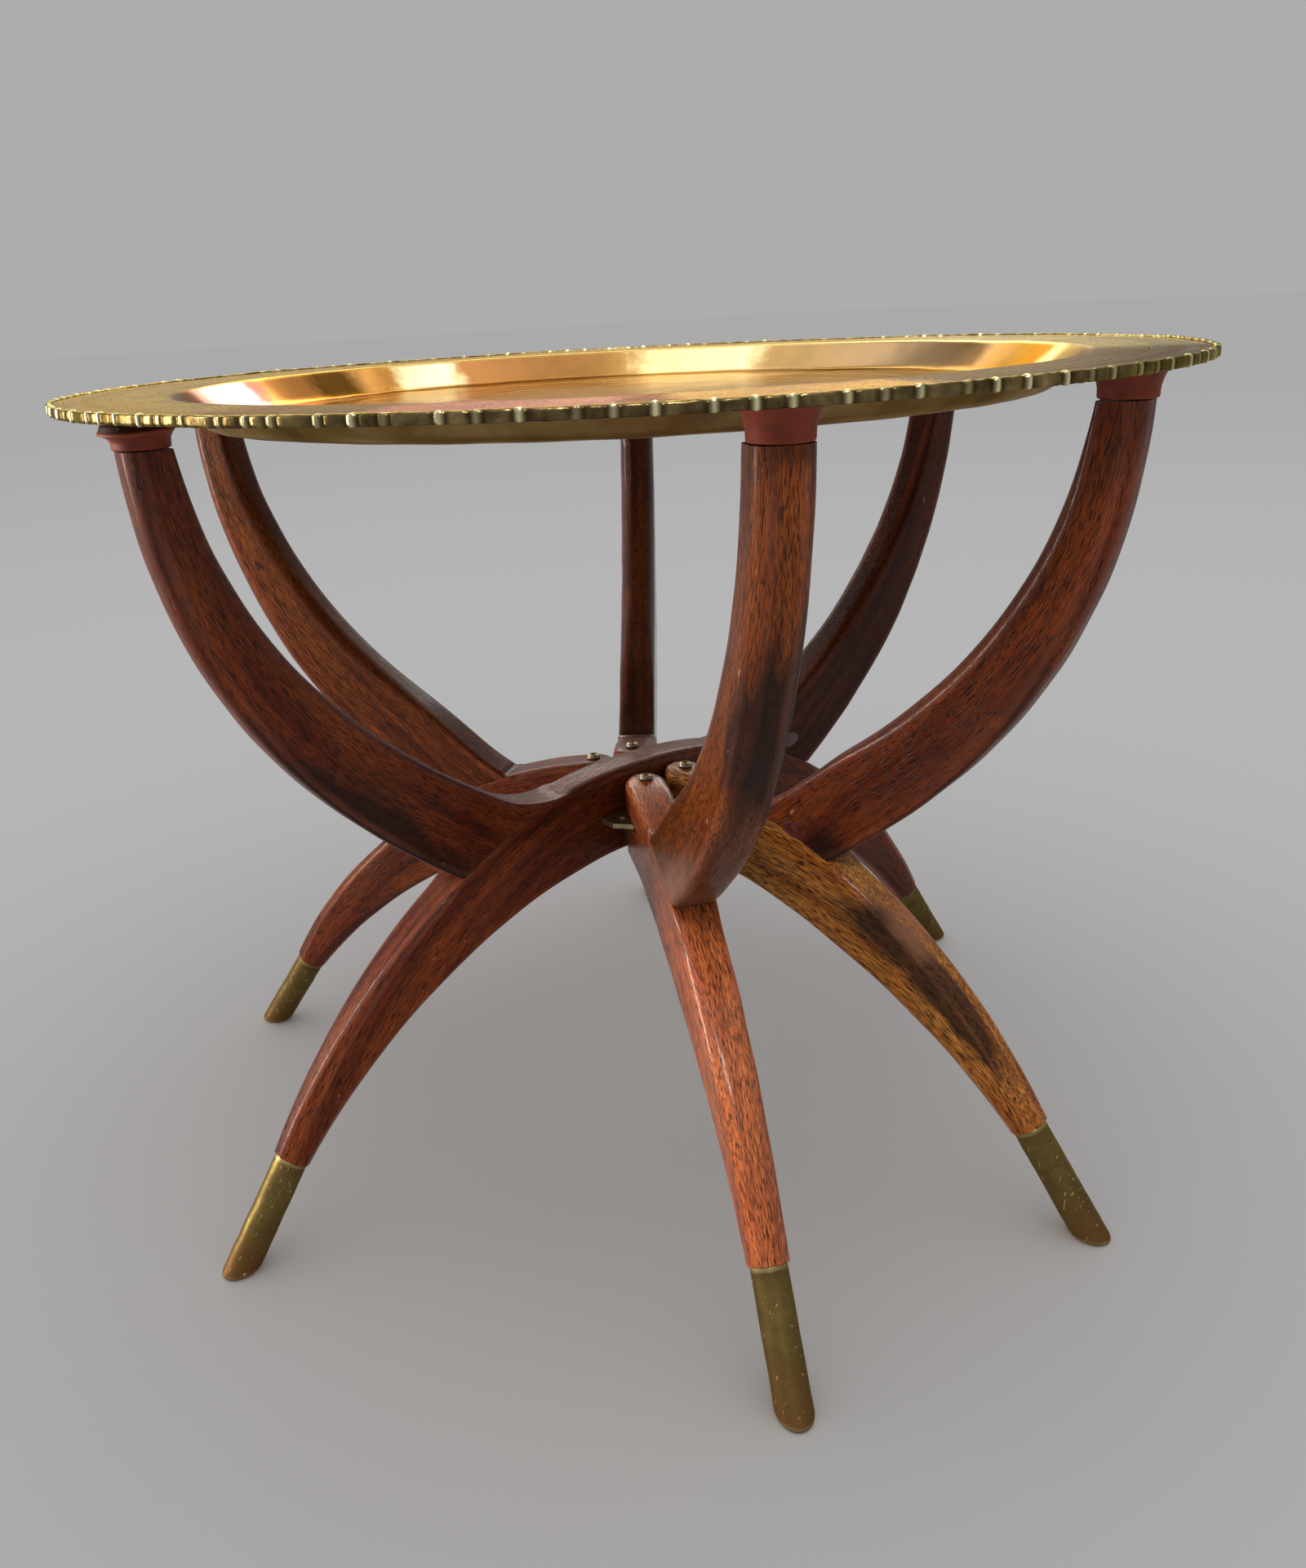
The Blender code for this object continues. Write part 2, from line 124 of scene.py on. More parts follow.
def rowNormals(grid, wrapRows=False):
    # normal of each grid point, from the differences to its neighbours
    along = np.roll(grid, -1, 0) - np.roll(grid, 1, 0) if wrapRows else np.gradient(grid, axis=0)
    around = np.roll(grid, -1, 1) - np.roll(grid, 1, 1)
    return unit(np.cross(around, along))


def legFrame(name):
    # where a leg's own frame sits: from the middle of its rubber cap, straight back to the hub
    low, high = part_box("rubber_cap_" + name)
    cap = np.array([(low.x + high.x) / 2, (low.y + high.y) / 2])
    joint = [j for j in frame["joints"] if j["child"] == bodyOf[name]]
    pivot = np.array(joint[0]["pos_m"][:2]) if joint else np.zeros(2)
    out = unit(cap - pivot)
    origin = cap - out * timber["tipOut"]
    return origin, out


def placed(name, points):
    # from a leg's own frame to the table's
    origin, out = legFrame(name)
    side = np.array([-out[1], out[0]])
    flat = origin + points[..., :1] * out + points[..., 1:2] * side
    return np.concatenate([flat, points[..., 2:]], axis=-1)


def finishPiece(piece, body, material, replaced=()):
    piece.data.materials.clear()
    piece.data.materials.append(material)
    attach(piece, body)
    if replaced:
        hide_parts(*replaced)
    return piece


def storeValues(mesh, name, values):
    values = np.asarray(values, np.float32)
    kind = "FLOAT_VECTOR" if values.ndim == 2 else "FLOAT"
    attribute = mesh.attributes.new(name, kind, "POINT")
    attribute.data.foreach_set("vector" if values.ndim == 2 else "value", values.ravel())


def surface(name, grid, wrapRows=False, values=None, turns=None, lengths=0.0, sharpAngle=40):
    # Skin over a grid of points whose columns run round the piece. Rows are closed into a ring, or each end
    # gets a pole at its middle. values: extra numbers per grid point. turns and lengths: the UV map, with
    # turns from 0 to 1 round the piece and lengths in metres along its rows.
    rows, columns = grid.shape[:2]
    index = np.arange(rows * columns).reshape(rows, columns)
    low = index if wrapRows else index[:-1]
    high = np.roll(index, -1, 0) if wrapRows else index[1:]
    nextLow, nextHigh = np.roll(low, -1, 1), np.roll(high, -1, 1)
    quads = np.stack([low, nextLow, nextHigh, high], axis=-1).reshape(-1, 4)
    points = grid.reshape(-1, 3)
    fans = np.zeros((0, 3), int)
    if not wrapRows:
        points = np.vstack([points, grid[0].mean(0), grid[-1].mean(0)])
        first, last = rows * columns, rows * columns + 1
        bottom = np.stack([np.full(columns, first), np.roll(index[0], -1), index[0]], axis=-1)
        top = np.stack([np.full(columns, last), index[-1], np.roll(index[-1], -1)], axis=-1)
        fans = np.vstack([bottom, top])
    corners = points[quads]
    split = np.concatenate([corners[:, [0, 1, 2]], corners[:, [0, 2, 3]], points[fans]])
    volume = np.einsum("ij,ij->i", split[:, 0], np.cross(split[:, 1], split[:, 2])).sum()
    if volume < 0:
        quads, fans = quads[:, ::-1], fans[:, ::-1]
    mesh = bpy.data.meshes.new(name)
    mesh.vertices.add(len(points))
    mesh.vertices.foreach_set("co", points.astype(np.float32).ravel())
    loops = np.concatenate([quads.ravel(), fans.ravel()])
    sizes = np.concatenate([np.full(len(quads), 4), np.full(len(fans), 3)])
    mesh.loops.add(len(loops))
    mesh.loops.foreach_set("vertex_index", loops.astype(np.int32))
    mesh.polygons.add(len(sizes))
    starts = np.concatenate([[0], np.cumsum(sizes)[:-1]])
    mesh.polygons.foreach_set("loop_start", starts.astype(np.int32))
    mesh.polygons.foreach_set("loop_total", sizes.astype(np.int32))
    mesh.update(calc_edges=True)
    mesh.validate()
    if turns is not None:
        u = np.tile(turns, rows)
        v = np.broadcast_to(lengths, (rows, columns)).ravel()
        u, v = np.append(u, [0.5, 0.5]), np.append(v, [v[0], v[-1]])
        loopU = u[loops].copy()
        quadU = loopU[: quads.size].reshape(-1, 4)
        quadU[(quadU.max(1) - quadU.min(1) > 0.5)[:, None] & (quadU < 0.5)] += 1.0
        layer = mesh.uv_layers.new(name="wrap")
        layer.data.foreach_set("uv", np.stack([loopU, v[loops]], axis=-1).astype(np.float32).ravel())
    for key, data in (values or {}).items():
        data = np.broadcast_to(data, grid.shape[:2] + data.shape[2:]).reshape(rows * columns, -1)
        if not wrapRows:
            data = np.vstack([data, data[:columns].mean(0), data[-columns:].mean(0)])
        storeValues(mesh, key, data if data.shape[1] == 3 else data[:, 0])
    mesh.shade_smooth()
    mesh.set_sharp_from_angle(angle=math.radians(sharpAngle))
    piece = bpy.data.objects.new(name, mesh)
    scene.collection.objects.link(piece)
    return piece


def boxPiece(name, low, high, place=None):
    low, high = np.array(low, float), np.array(high, float)
    corners = np.array([[x, y, z] for x in (0, 1) for y in (0, 1) for z in (0, 1)], float)
    points = low + corners * (high - low)
    if place is not None:
        points = placed(place, points)
    faces = [(0, 1, 3, 2), (4, 6, 7, 5), (0, 4, 5, 1), (2, 3, 7, 6), (0, 2, 6, 4), (1, 5, 7, 3)]
    mesh = bpy.data.meshes.new(name)
    mesh.from_pydata(points.tolist(), [], faces)
    piece = bpy.data.objects.new(name, mesh)
    scene.collection.objects.link(piece)
    return piece


def carve(piece, tools):
    # cuts the tools out of a piece for good, and removes them
    for tool in tools:
        modifier = piece.modifiers.new(tool.name, "BOOLEAN")
        modifier.operation, modifier.solver, modifier.object = "DIFFERENCE", "EXACT", tool
    graph = bpy.context.evaluated_depsgraph_get()
    result = bpy.data.meshes.new_from_object(piece.evaluated_get(graph))
    piece.modifiers.clear()
    piece.data = result
    for tool in tools:
        bpy.data.objects.remove(tool)


def softened(node, width, segments=2):
    # a CAD node with its points merged and its edges slightly rounded
    source = frame["nodes"][node]
    shape = bmesh.new()
    shape.from_mesh(source.data)
    bmesh.ops.remove_doubles(shape, verts=shape.verts, dist=0.00001)
    bmesh.ops.dissolve_limit(shape, angle_limit=math.radians(1), verts=shape.verts, edges=shape.edges)
    mesh = bpy.data.meshes.new(node + "_soft")
    shape.to_mesh(mesh)
    shape.free()
    piece = bpy.data.objects.new(node + "_soft", mesh)
    scene.collection.objects.link(piece)
    edge = piece.modifiers.new("edge", "BEVEL")
    edge.width, edge.segments, edge.limit_method = width, segments, "ANGLE"
    edge.angle_limit = math.radians(35)
    edge.harden_normals = False
    mesh.shade_smooth()
    mesh.set_sharp_from_angle(angle=math.radians(45))
    return piece


def linearColour(hexColour):
    channels = [int(hexColour[i:i + 2], 16) / 255 for i in (1, 3, 5)]
    linear = [c / 12.92 if c <= 0.04045 else ((c + 0.055) / 1.055) ** 2.4 for c in channels]
    return (*linear, 1.0)


def addNode(tree, kind, inputs=None, output=0, stops=None, **settings):
    # One node with its settings and links. An input is a plain value, a hex colour or another node's output;
    # stops are a colour ramp's places and its greys or hex colours.
    node = tree.nodes.new("ShaderNode" + kind)
    for key, value in settings.items():
        setattr(node, key, value)
    for key, value in (inputs or {}).items():
        if isinstance(value, bpy.types.NodeSocket):
            tree.links.new(value, node.inputs[key])
        else:
            node.inputs[key].default_value = linearColour(value) if isinstance(value, str) else value
    for place, tone in (stops or [])[2:]:
        node.color_ramp.elements.new(place)
    for element, (place, tone) in zip(node.color_ramp.elements if stops else [], stops or []):
        element.position = place
        element.color = linearColour(tone) if isinstance(tone, str) else (tone, tone, tone, 1.0)
    return node.outputs[output]


def newMaterial(name, **shader):
    # a Principled material with its constant settings; also gives the function that adds a node to it
    made = bpy.data.materials.new(name)
    made.use_nodes = True
    principled = made.node_tree.nodes["Principled BSDF"]
    for key, value in shader.items():
        socket = principled.inputs[key.replace("_", " ")]
        socket.default_value = linearColour(value) if isinstance(value, str) else value
    return made, partial(addNode, made.node_tree), principled


def plug(principled, **links):
    # links node outputs to the shader's sockets, named with _ for a space
    for key, output in links.items():
        principled.id_data.links.new(output, principled.inputs[key.replace("_", " ")])


def woodMaterial(name, look):
    # Stained mahogany under satin lacquer: straight bands 3 to 6 mm wide, pores as dark dashes about 0.3 by
    # 5 mm along the grain (a little coarser than real ones), paler edges that are partly rubbed wear and
    # partly a painted highlight, and dark handling grime.
    made, add, principled = newMaterial(
        name, IOR=1.5, Specular_IOR_Level=0.08, Coat_IOR=1.5,
        Coat_Weight=look["lacquer"], Coat_Roughness=look["sheen"],
    )
    grain = add("Attribute", output="Vector", attribute_name="grain")
    wander = add("Mapping", {"Vector": grain, "Scale": (6, 14, 14)})
    wander = add("TexNoise", {"Vector": wander, "Scale": 1.0, "Detail": 2.0}, output="Color")
    wander = add("VectorMath", {0: wander, "Scale": look["bend"]}, operation="SCALE")
    bent = add("VectorMath", {0: grain, 1: wander}, operation="ADD")
    # noises stretched along the grain: repeats per metre along, across and through, then detail and roughness
    noises = {}
    for key, field, repeats, detail, fineness in (
        ("bands", bent, (5, 210, 150), 3.0, 0.55), ("figure", bent, (10, 60, 60), 2.0, 0.5),
        ("fibres", bent, (60, 1500, 1500), 2.0, 0.6), ("pores", bent, (150, 2600, 2600), 1.0, 0.4),
        ("clouds", grain, (26, 60, 60), 4.0, 0.6),
    ):
        stretched = add("Mapping", {"Vector": field, "Scale": repeats})
        settings = {"Vector": stretched, "Scale": 1.0, "Detail": detail, "Roughness": fineness}
        noises[key] = add("TexNoise", settings)
    clouds = noises["clouds"]

    colour = add("ValToRGB", {0: noises["bands"]}, stops=look["bands"])
    flame = add("ValToRGB", {0: noises["figure"]}, stops=[(0.4, 0.0), (0.7, 0.55)])
    colour = add("Mix", {0: flame, 6: colour, 7: look["flame"]}, output=2, data_type="RGBA")
    fleck = add("ValToRGB", {0: noises["fibres"]}, stops=[(0.36, 0.62), (0.5, 1.0), (0.68, 1.18)])
    colour = add("Mix", {0: 1.0, 6: colour, 7: fleck}, output=2, data_type="RGBA", blend_type="MULTIPLY")
    fill = look["poreFill"]
    holes = add("ValToRGB", {0: noises["pores"]}, stops=[(fill, 1.0), (fill + 0.06, 0.0)])
    pores = add("Math", {0: holes, 1: look["poreDark"]}, operation="MULTIPLY")
    # grime and pale wear: the piece's own spots, broken up by clouds
    spots = {}
    for key, cloudShare, stops in (
        ("grimeAndShade", 0.9, [(0.3, 0.0), (0.62, look["grimeAndShade"])]), ("pale", 0.8, [(0.32, 0.0), (0.75, 0.75)]),
    ):
        amount = add("Attribute", output="Fac", attribute_name=key)
        amount = add("Math", {0: amount, 1: -cloudShare / 2}, operation="ADD")
        amount = add("Math", {0: clouds, 1: cloudShare, 2: amount}, operation="MULTIPLY_ADD")
        spots[key] = add("ValToRGB", {0: amount}, stops=stops)
    # paler rounded corners: partly rubbed wear, partly a painted highlight along the edges
    edge = add("Attribute", output="Fac", attribute_name="edge")
    rubbedAndHighlit = add("ValToRGB", {0: clouds}, stops=[(0.35, 0.2), (0.65, 0.9)])
    rubbedAndHighlit = add("Math", {0: edge, 1: rubbedAndHighlit}, operation="MULTIPLY")
    rubbedAndHighlit = add("Math", {0: rubbedAndHighlit, 1: look["rubAndHighlight"]}, operation="MULTIPLY")
    scratches = add("Mapping", {"Vector": grain, "Scale": (90, 900, 160), "Rotation": (0.2, 0.5, 0.8)})
    scratches = add("TexNoise", {"Vector": scratches, "Scale": 1.0, "Detail": 2.0, "Roughness": 0.7})
    scratches = add("ValToRGB", {0: scratches}, stops=[(0.735, 0.0), (0.76, 0.55)])
    for amount, tone in (
        (pores, look["pore"]), (spots["grimeAndShade"], look["stain"]), (rubbedAndHighlit, look["rubbedAndHighlit"]),
        (spots["pale"], look["paleTone"]), (scratches, look["scratch"]),
    ):
        colour = add("Mix", {0: amount, 6: colour, 7: tone}, output=2, data_type="RGBA")
    rough = add("ValToRGB", {0: clouds}, stops=[(0.3, look["rough"] - 0.07), (0.7, look["rough"] + 0.1)])

    height = add("Math", {0: noises["fibres"], 1: 0.35}, operation="MULTIPLY")
    height = add("Math", {0: holes, 1: -0.8, 2: height}, operation="MULTIPLY_ADD")
    height = add("Math", {0: noises["figure"], 1: 1.2, 2: height}, operation="MULTIPLY_ADD")
    relief = add("Bump", {"Strength": 0.45, "Distance": 0.00022, "Height": height})
    plug(principled, Base_Color=colour, Roughness=rough, Normal=relief, Coat_Normal=relief)
    return made


mahogany = {
    "bands": [(0.25, "#381106"), (0.45, "#582008"), (0.62, "#722f0f"), (0.80, "#843e16")],
    "flame": "#90481a", "pore": "#1a0805", "stain": "#150b08", "rubbedAndHighlit": "#a4604a", "paleTone": "#9a6a50",
    "scratch": "#b08a78",
    "poreFill": 0.42, "poreDark": 0.80, "grimeAndShade": 0.85, "rubAndHighlight": 0.25, "bend": 0.0035,
    "rough": 0.42, "lacquer": 0.22, "sheen": 0.16,
}
woodLooks = {
    "darkMahogany": mahogany,
    "redMahogany": {
        **mahogany, "bands": [(0.25, "#722a15"), (0.45, "#9e4924"), (0.62, "#ba5d2e"), (0.80, "#ca703c")],
        "flame": "#d07e48", "poreDark": 0.85, "rough": 0.36, "lacquer": 0.42,
    },
    "goldenMahogany": {
        **mahogany, "bands": [(0.25, "#763a12"), (0.42, "#98561c"), (0.60, "#b2702c"), (0.80, "#c48638")],
        "flame": "#cc9248", "pore": "#24100a", "poreFill": 0.44, "poreDark": 0.9, "bend": 0.006,
    },
    "brownMahogany": {
        **mahogany, "bands": [(0.25, "#401706"), (0.45, "#622a0a"), (0.62, "#7c3b12"), (0.80, "#8e4a1a")],
        "flame": "#98541e",
    },
    # the next two looks are darker copies of the same mahogany: painted shade for the two far right arms, one
    # matt and one under glossy lacquer
    "shadowMahogany": {
        **mahogany, "bands": [(0.25, "#260c06"), (0.45, "#3e1508"), (0.62, "#52200c"), (0.80, "#603014")],
        "flame": "#6a3416", "lacquer": 0.1,
    },
    "polishedMahogany": {
        **mahogany, "bands": [(0.25, "#260c06"), (0.45, "#3e1508"), (0.62, "#52200c"), (0.80, "#603014")],
        "flame": "#6a3416", "lacquer": 0.95, "sheen": 0.10,
    },
}
woods = {name: woodMaterial(name, look) for name, look in woodLooks.items()}
print("wood finishes ready")


def beamSection(upper, lower, half, upperBevel, lowerBevel, rounding, arcSteps=5, sideSteps=3):
    # Rings of a timber beam between its upper and lower edge points (r, z): a bevelled rectangle whose eight
    # corners are rounded by quadratic curves. Returns the points, and how far each is below the upper edge.
    depth = np.linalg.norm(lower - upper, axis=1)
    ub, lb, h = upperBevel, lowerBevel, half
    down = np.stack([0 * h, 0 * h, ub, depth - lb, depth, depth, depth - lb, ub], axis=-1)
    wide = np.stack([ub - h, h - ub, h, h, h - lb, lb - h, -h, -h], axis=-1)
    corners = np.stack([down, wide], axis=-1)

    def towards(side):
        length = np.linalg.norm(side, axis=-1, keepdims=True)
        return corners + side * np.minimum(rounding[:, None, None], 0.45 * length) / np.maximum(length, 1e-9)

    start = towards(np.roll(corners, 1, 1) - corners)[:, :, None]
    end = towards(np.roll(corners, -1, 1) - corners)[:, :, None]
    q = np.linspace(0, 1, arcSteps)[:, None]
    arc = (1 - q) ** 2 * start + 2 * q * (1 - q) * corners[:, :, None] + q * q * end
    f = (np.arange(sideSteps)[:, None] + 1) / (sideSteps + 1)
    flat = end + (np.roll(start, -1, 1) - end) * f
    outline = np.concatenate([arc, flat], axis=2).reshape(len(depth), -1, 2)
    across = unit(lower - upper)[:, None]
    edge = upper[:, None] + outline[..., :1] * across
    return np.stack([edge[..., 0], outline[..., 1], edge[..., 1]], axis=-1), outline[..., 0]


# share of each section point on a rounded corner; the wood paints its paler edges there, partly rubbed wear
# and partly painted highlight
cornerShare = np.tile(np.concatenate([np.sin(np.linspace(0, math.pi, 5)), np.zeros(3)]), 8)


def beamEdges(line, t, depth):
    middle, along = onCurve(line, t)
    up = np.stack([-along[:, 1], along[:, 0]], axis=-1) * depth[:, None] / 2
    return middle + up, middle - up


def spineDepth(t):
    x = (t - 0.2) / 0.8
    return 0.052 - (0.052 - timber["ankleDepth"]) * (np.sqrt(x * x + 0.01) + x) / 2


def legDepth(t):
    return 0.048 - 0.006 * t - 0.022 * t * t


def armDepth(t):
    return 0.052 - 0.018 * t - 0.012 * t * t


def arcLength(points):
    return np.concatenate([[0], np.cumsum(np.linalg.norm(np.diff(points, axis=0), axis=-1))])


def handFinish(grid, seed):
    # moves every point in or out a little, as hand-finished timber does
    return grid + rowNormals(grid) * (waver(grid, 0.035, seed) * timber["handWaver"])[..., None]


def legTop(line, depth, first):
    upper, _ = beamEdges(line, np.linspace(first, 0.62, 200), depth(np.linspace(first, 0.62, 200)))
    return upper


def armGrid(top, fillet, slimmer):
    # The arm's lengthwise lines start where they rise out of the leg's upper edge, top, and end at the tip.
    # The inner ones are pulled along the leg by (sqrt fillet - sqrt height)^2, which rounds out the notch.
    # slimmer takes that much off the inner edge near the root.
    half = timber["thickness"] / 2
    t = np.linspace(0, 1, 420)
    outer = 0.0024 + 0.0034 * smooth(t, 0.30, 0.75)
    inner = 0.0020 + 0.0030 * smooth(t, 0.05, 0.4) * (1 - smooth(t, 0.8, 1.0))
    upper, lower = beamEdges(timber["armLine"], t, armDepth(t))
    upper = upper + unit(lower - upper) * (slimmer * (1 - smooth(t, 0.0, 0.22)))[:, None]
    flat = np.full(t.shape, half)
    section, below = beamSection(upper, lower, flat, inner, outer, flat * 0 + 0.0036)
    root = [np.array([edge]) for edge in timber["armRoot"]]
    rootRing, rootBelow = beamSection(*root, flat[:1], inner[:1], outer[:1], flat[:1] * 0 + 0.0036)
    f = np.linspace(0, 1, 90)[:-1, None, None]
    path = np.concatenate([rootRing + (section[:1] - rootRing) * f, section])
    below = np.concatenate([rootBelow + (below[:1] - rootBelow) * f[..., 0], below])
    level = (timber["tipHeight"] - path[-1, :, 2]) * smooth(np.arange(len(path)), 440, len(path) - 1)[:, None]
    path[..., 2] += level
    above = path[..., 2] - np.interp(path[..., 0], top[:, 0], top[:, 1])
    pull = np.clip(math.sqrt(fillet) - np.sqrt(np.clip(above, 0, fillet)), 0, None) ** 2
    pull = pull * (1 - smooth(below, 0.001, 0.010))
    path[..., 0] -= pull
    path[..., 2] = above + np.interp(path[..., 0], top[:, 0], top[:, 1])
    arc = arcLength(path.mean(1))
    buried = path[..., 2] - np.interp(path[..., 0], top[:, 0], top[:, 1]) < 0.0001
    start = len(path) - np.argmax(buried[::-1], axis=0)
    u = np.linspace(0, 1, 130)[:, None] ** 1.15
    where = start + (len(path) - 1.001 - start) * u
    low = where.astype(int)
    share = where - low

    def take(table):
        f, index = (share[..., None], low[..., None]) if table.ndim == 3 else (share, low)
        before, after = (np.take_along_axis(table, i, 0) for i in (index, index + 1))
        return before * (1 - f) + after * f

    return take(path), take(below), take(np.broadcast_to(arc[:, None], path.shape[:2]).copy())


def closeEnds(grid, others, inset, sink=0.0):
    # one more ring inside each end, so that the end's edge is slightly rounded over
    first = grid[:1] + (grid[:1].mean(1, keepdims=True) - grid[:1]) * inset[0] + np.array([0, 0, -sink])
    last = grid[-1:] + (grid[-1:].mean(1, keepdims=True) - grid[-1:]) * inset[1]
    return np.concatenate([first, grid, last]), [np.concatenate([o[:1], o, o[-1:]]) for o in others]


woodOf = {
    "left": ("darkMahogany", "darkMahogany"), "right": ("shadowMahogany", "darkMahogany"),
    "front_left": ("brownMahogany", "redMahogany"), "front_right": ("darkMahogany", "goldenMahogany"),
    "rear_right": ("polishedMahogany", "darkMahogany"), "rear_left": ("brownMahogany", "darkMahogany"),
}
# Each spot: places along the piece and below its upper edge as shares, side (0 for both), spread, amount.
grimeSpots = {
    "arm_left": [(0.34, 1.0, 1, 0.26, 0.9), (0.10, 0.95, 1, 0.2, 0.5), (0.80, 0.9, 1, 0.2, 0.3)],
    "arm_front_left": [(0.64, 1.0, 0, 0.14, 0.8), (0.76, 0.95, 1, 0.12, 0.5), (0.52, 1.0, 1, 0.10, 0.6)],
    "arm_front_right": [(0.13, 0.9, -1, 0.05, 0.7), (0.60, 1.0, -1, 0.2, 0.4)],
    "leg_front_right": [(0.62, 0.1, -1, 0.14, 1.0), (0.48, 0.2, -1, 0.10, 0.8), (0.05, 0.8, -1, 0.06, 0.5)],
}
paleSpots = {
    "arm_front_left": [(0.08, 0.8, 0, 0.24, 0.8), (0.30, 1.0, 1, 0.15, 0.6)],
    "arm_rear_right": [(0.03, 0.5, 0, 0.09, 1.0)],
    "leg_front_left": [(0.12, 0.4, 0, 0.22, 0.4), (0.95, 0.5, 0, 0.06, 0.4)],
    "leg_front_right": [(0.50, 0.0, 0, 0.10, 0.5)],
}


def spotted(spots, arc, below, side, name):
    along = arc / arc.max()
    down = below / below.max(axis=1, keepdims=True)
    across = side / 0.0125
    total = np.zeros(arc.shape)
    for place, depth, face, spread, amount in spots.get(name, []):
        distance = ((along - place) / spread) ** 2 + ((down - depth) / 0.35) ** 2
        if face:
            distance = distance + ((across - face) / 0.9) ** 2
        total = np.maximum(total, amount * np.exp(-distance))
    return total


def timberPiece(name, leg, grid, below, arc, wood, seed, replaced, skew=0.06):
    rng = np.random.default_rng(seed)
    start = rng.uniform(0, 3), rng.uniform(0, 1), rng.uniform(0, 1)
    grain = np.stack([arc + start[0], grid[..., 1] + start[1], below + skew * arc + start[2]], -1)
    values = {
        "grain": grain,
        "edge": np.broadcast_to(cornerShare, grid.shape[:2]),
        "grimeAndShade": 0.12 + spotted(grimeSpots, arc, below, grid[..., 1], name),
        "pale": spotted(paleSpots, arc, below, grid[..., 1], name),
    }
    shaped = handFinish(grid, seed)
    piece = surface(name + "_timber", placed(leg, shaped) if leg else shaped, values=values, sharpAngle=50)
    return finishPiece(piece, bodyOf[leg] if leg else "base", woods[wood], replaced)


def makeArm(name, seed):
    # a hinged leg's arm stands in a tight notch, and a spine's arm flows into it in a wide hollow
    if name in hingedLegs:
        top = legTop(timber["legLine"], legDepth, timber["stubEnd"])
        grid, below, arc = armGrid(top, *timber["hingedNotch"])
    else:
        top = legTop(timber["spineLine"], spineDepth, 0.0)
        grid, below, arc = armGrid(top, *timber["spineNotch"])
    notch, lip = grid[0, :, 0].min(), grid[0, :, 0].max()
    grid, (below, arc) = closeEnds(grid, [below, arc], (0.03, 0.04), 0.0003)
    timberPiece("arm_" + name, name, grid, below, arc, woodOf[name][0], seed, ["arm_" + name])
    return notch, lip


def shinRings(line, depth, t, joint):
    # bevels grow towards the ankle, and close up where the arm is glued on
    taper = smooth(t, 0.38, 1.0)
    half = (timber["thickness"] + (timber["ankleDepth"] - timber["thickness"]) * taper) / 2
    upper, lower = beamEdges(line, t, depth(t))
    glued = smooth(upper[:, 0], joint[0] - 0.006, joint[0] + 0.001)
    glued = glued * (1 - smooth(upper[:, 0], joint[1] - 0.004, joint[1] + 0.012))
    lowerBevel = 0.0012 + 0.0046 * taper
    upperBevel = 0.0030 + 0.0028 * taper
    upperBevel = upperBevel + (0.0003 - upperBevel) * glued
    rounding = 0.0024 - 0.0008 * taper
    return upper, lower, half, upperBevel, lowerBevel, rounding


def tenonRings(line):
    _, along = onCurve(line, np.array([1.0, 1.0]))
    ankle = np.array(line[3]) + along * np.array([[0.0004], [timber["tenonLength"]]])
    up = np.stack([-along[:, 1], along[:, 0]], -1) * timber["tenonRadius"]
    radius = np.full(2, timber["tenonRadius"])
    bevel = radius * (2 - math.sqrt(2))
    return ankle + up, ankle - up, radius, bevel, bevel, radius * 0.3


def joinRings(*groups):
    return [np.concatenate(parts) for parts in zip(*groups)]


def makeHingedLeg(name, seed, joint):
    line, depth = timber["legLine"], legDepth
    radius = timber["thickness"] / 2
    turn = np.radians(np.linspace(5, 90, 16))
    out = pivotOut - radius * np.cos(turn)
    half = radius * np.sin(turn)
    inward = radius * (1 - np.cos(turn))
    roundOver = 0.0030
    drop = roundOver * (1 - np.sqrt(1 - np.clip(1 - inward / roundOver, 0, 1) ** 2))
    reach = depth(np.zeros(16)) / 2 - drop
    centre = np.stack([out, np.full(16, line[0][1])], -1)
    rise = np.stack([0 * out, reach], -1)
    bevels = [np.minimum(size, half * 0.5) for size in (0.003, 0.0012)]
    knuckle = [centre + rise, centre - rise, half, *bevels, np.full(16, 0.0024)]
    shin = shinRings(line, depth, np.linspace(0.085, 0.9985, 130), joint)
    grid, below = beamSection(*joinRings(knuckle, shin, tenonRings(line)))
    arc = np.broadcast_to(arcLength(grid.mean(1))[:, None], grid.shape[:2])
    skew = 0.16 if name == "front_right" else 0.05
    piece = timberPiece("leg_" + name, name, grid, below, arc, woodOf[name][1], seed, ["leg_" + name], skew)
    slot = boxPiece("slot", (-0.01, -0.03, hinge["slotHeight"] - hinge["slotGap"]),
                    (pivotOut + hinge["slotReach"], 0.03, hinge["slotHeight"] + hinge["slotGap"]), name)
    carve(piece, [slot])


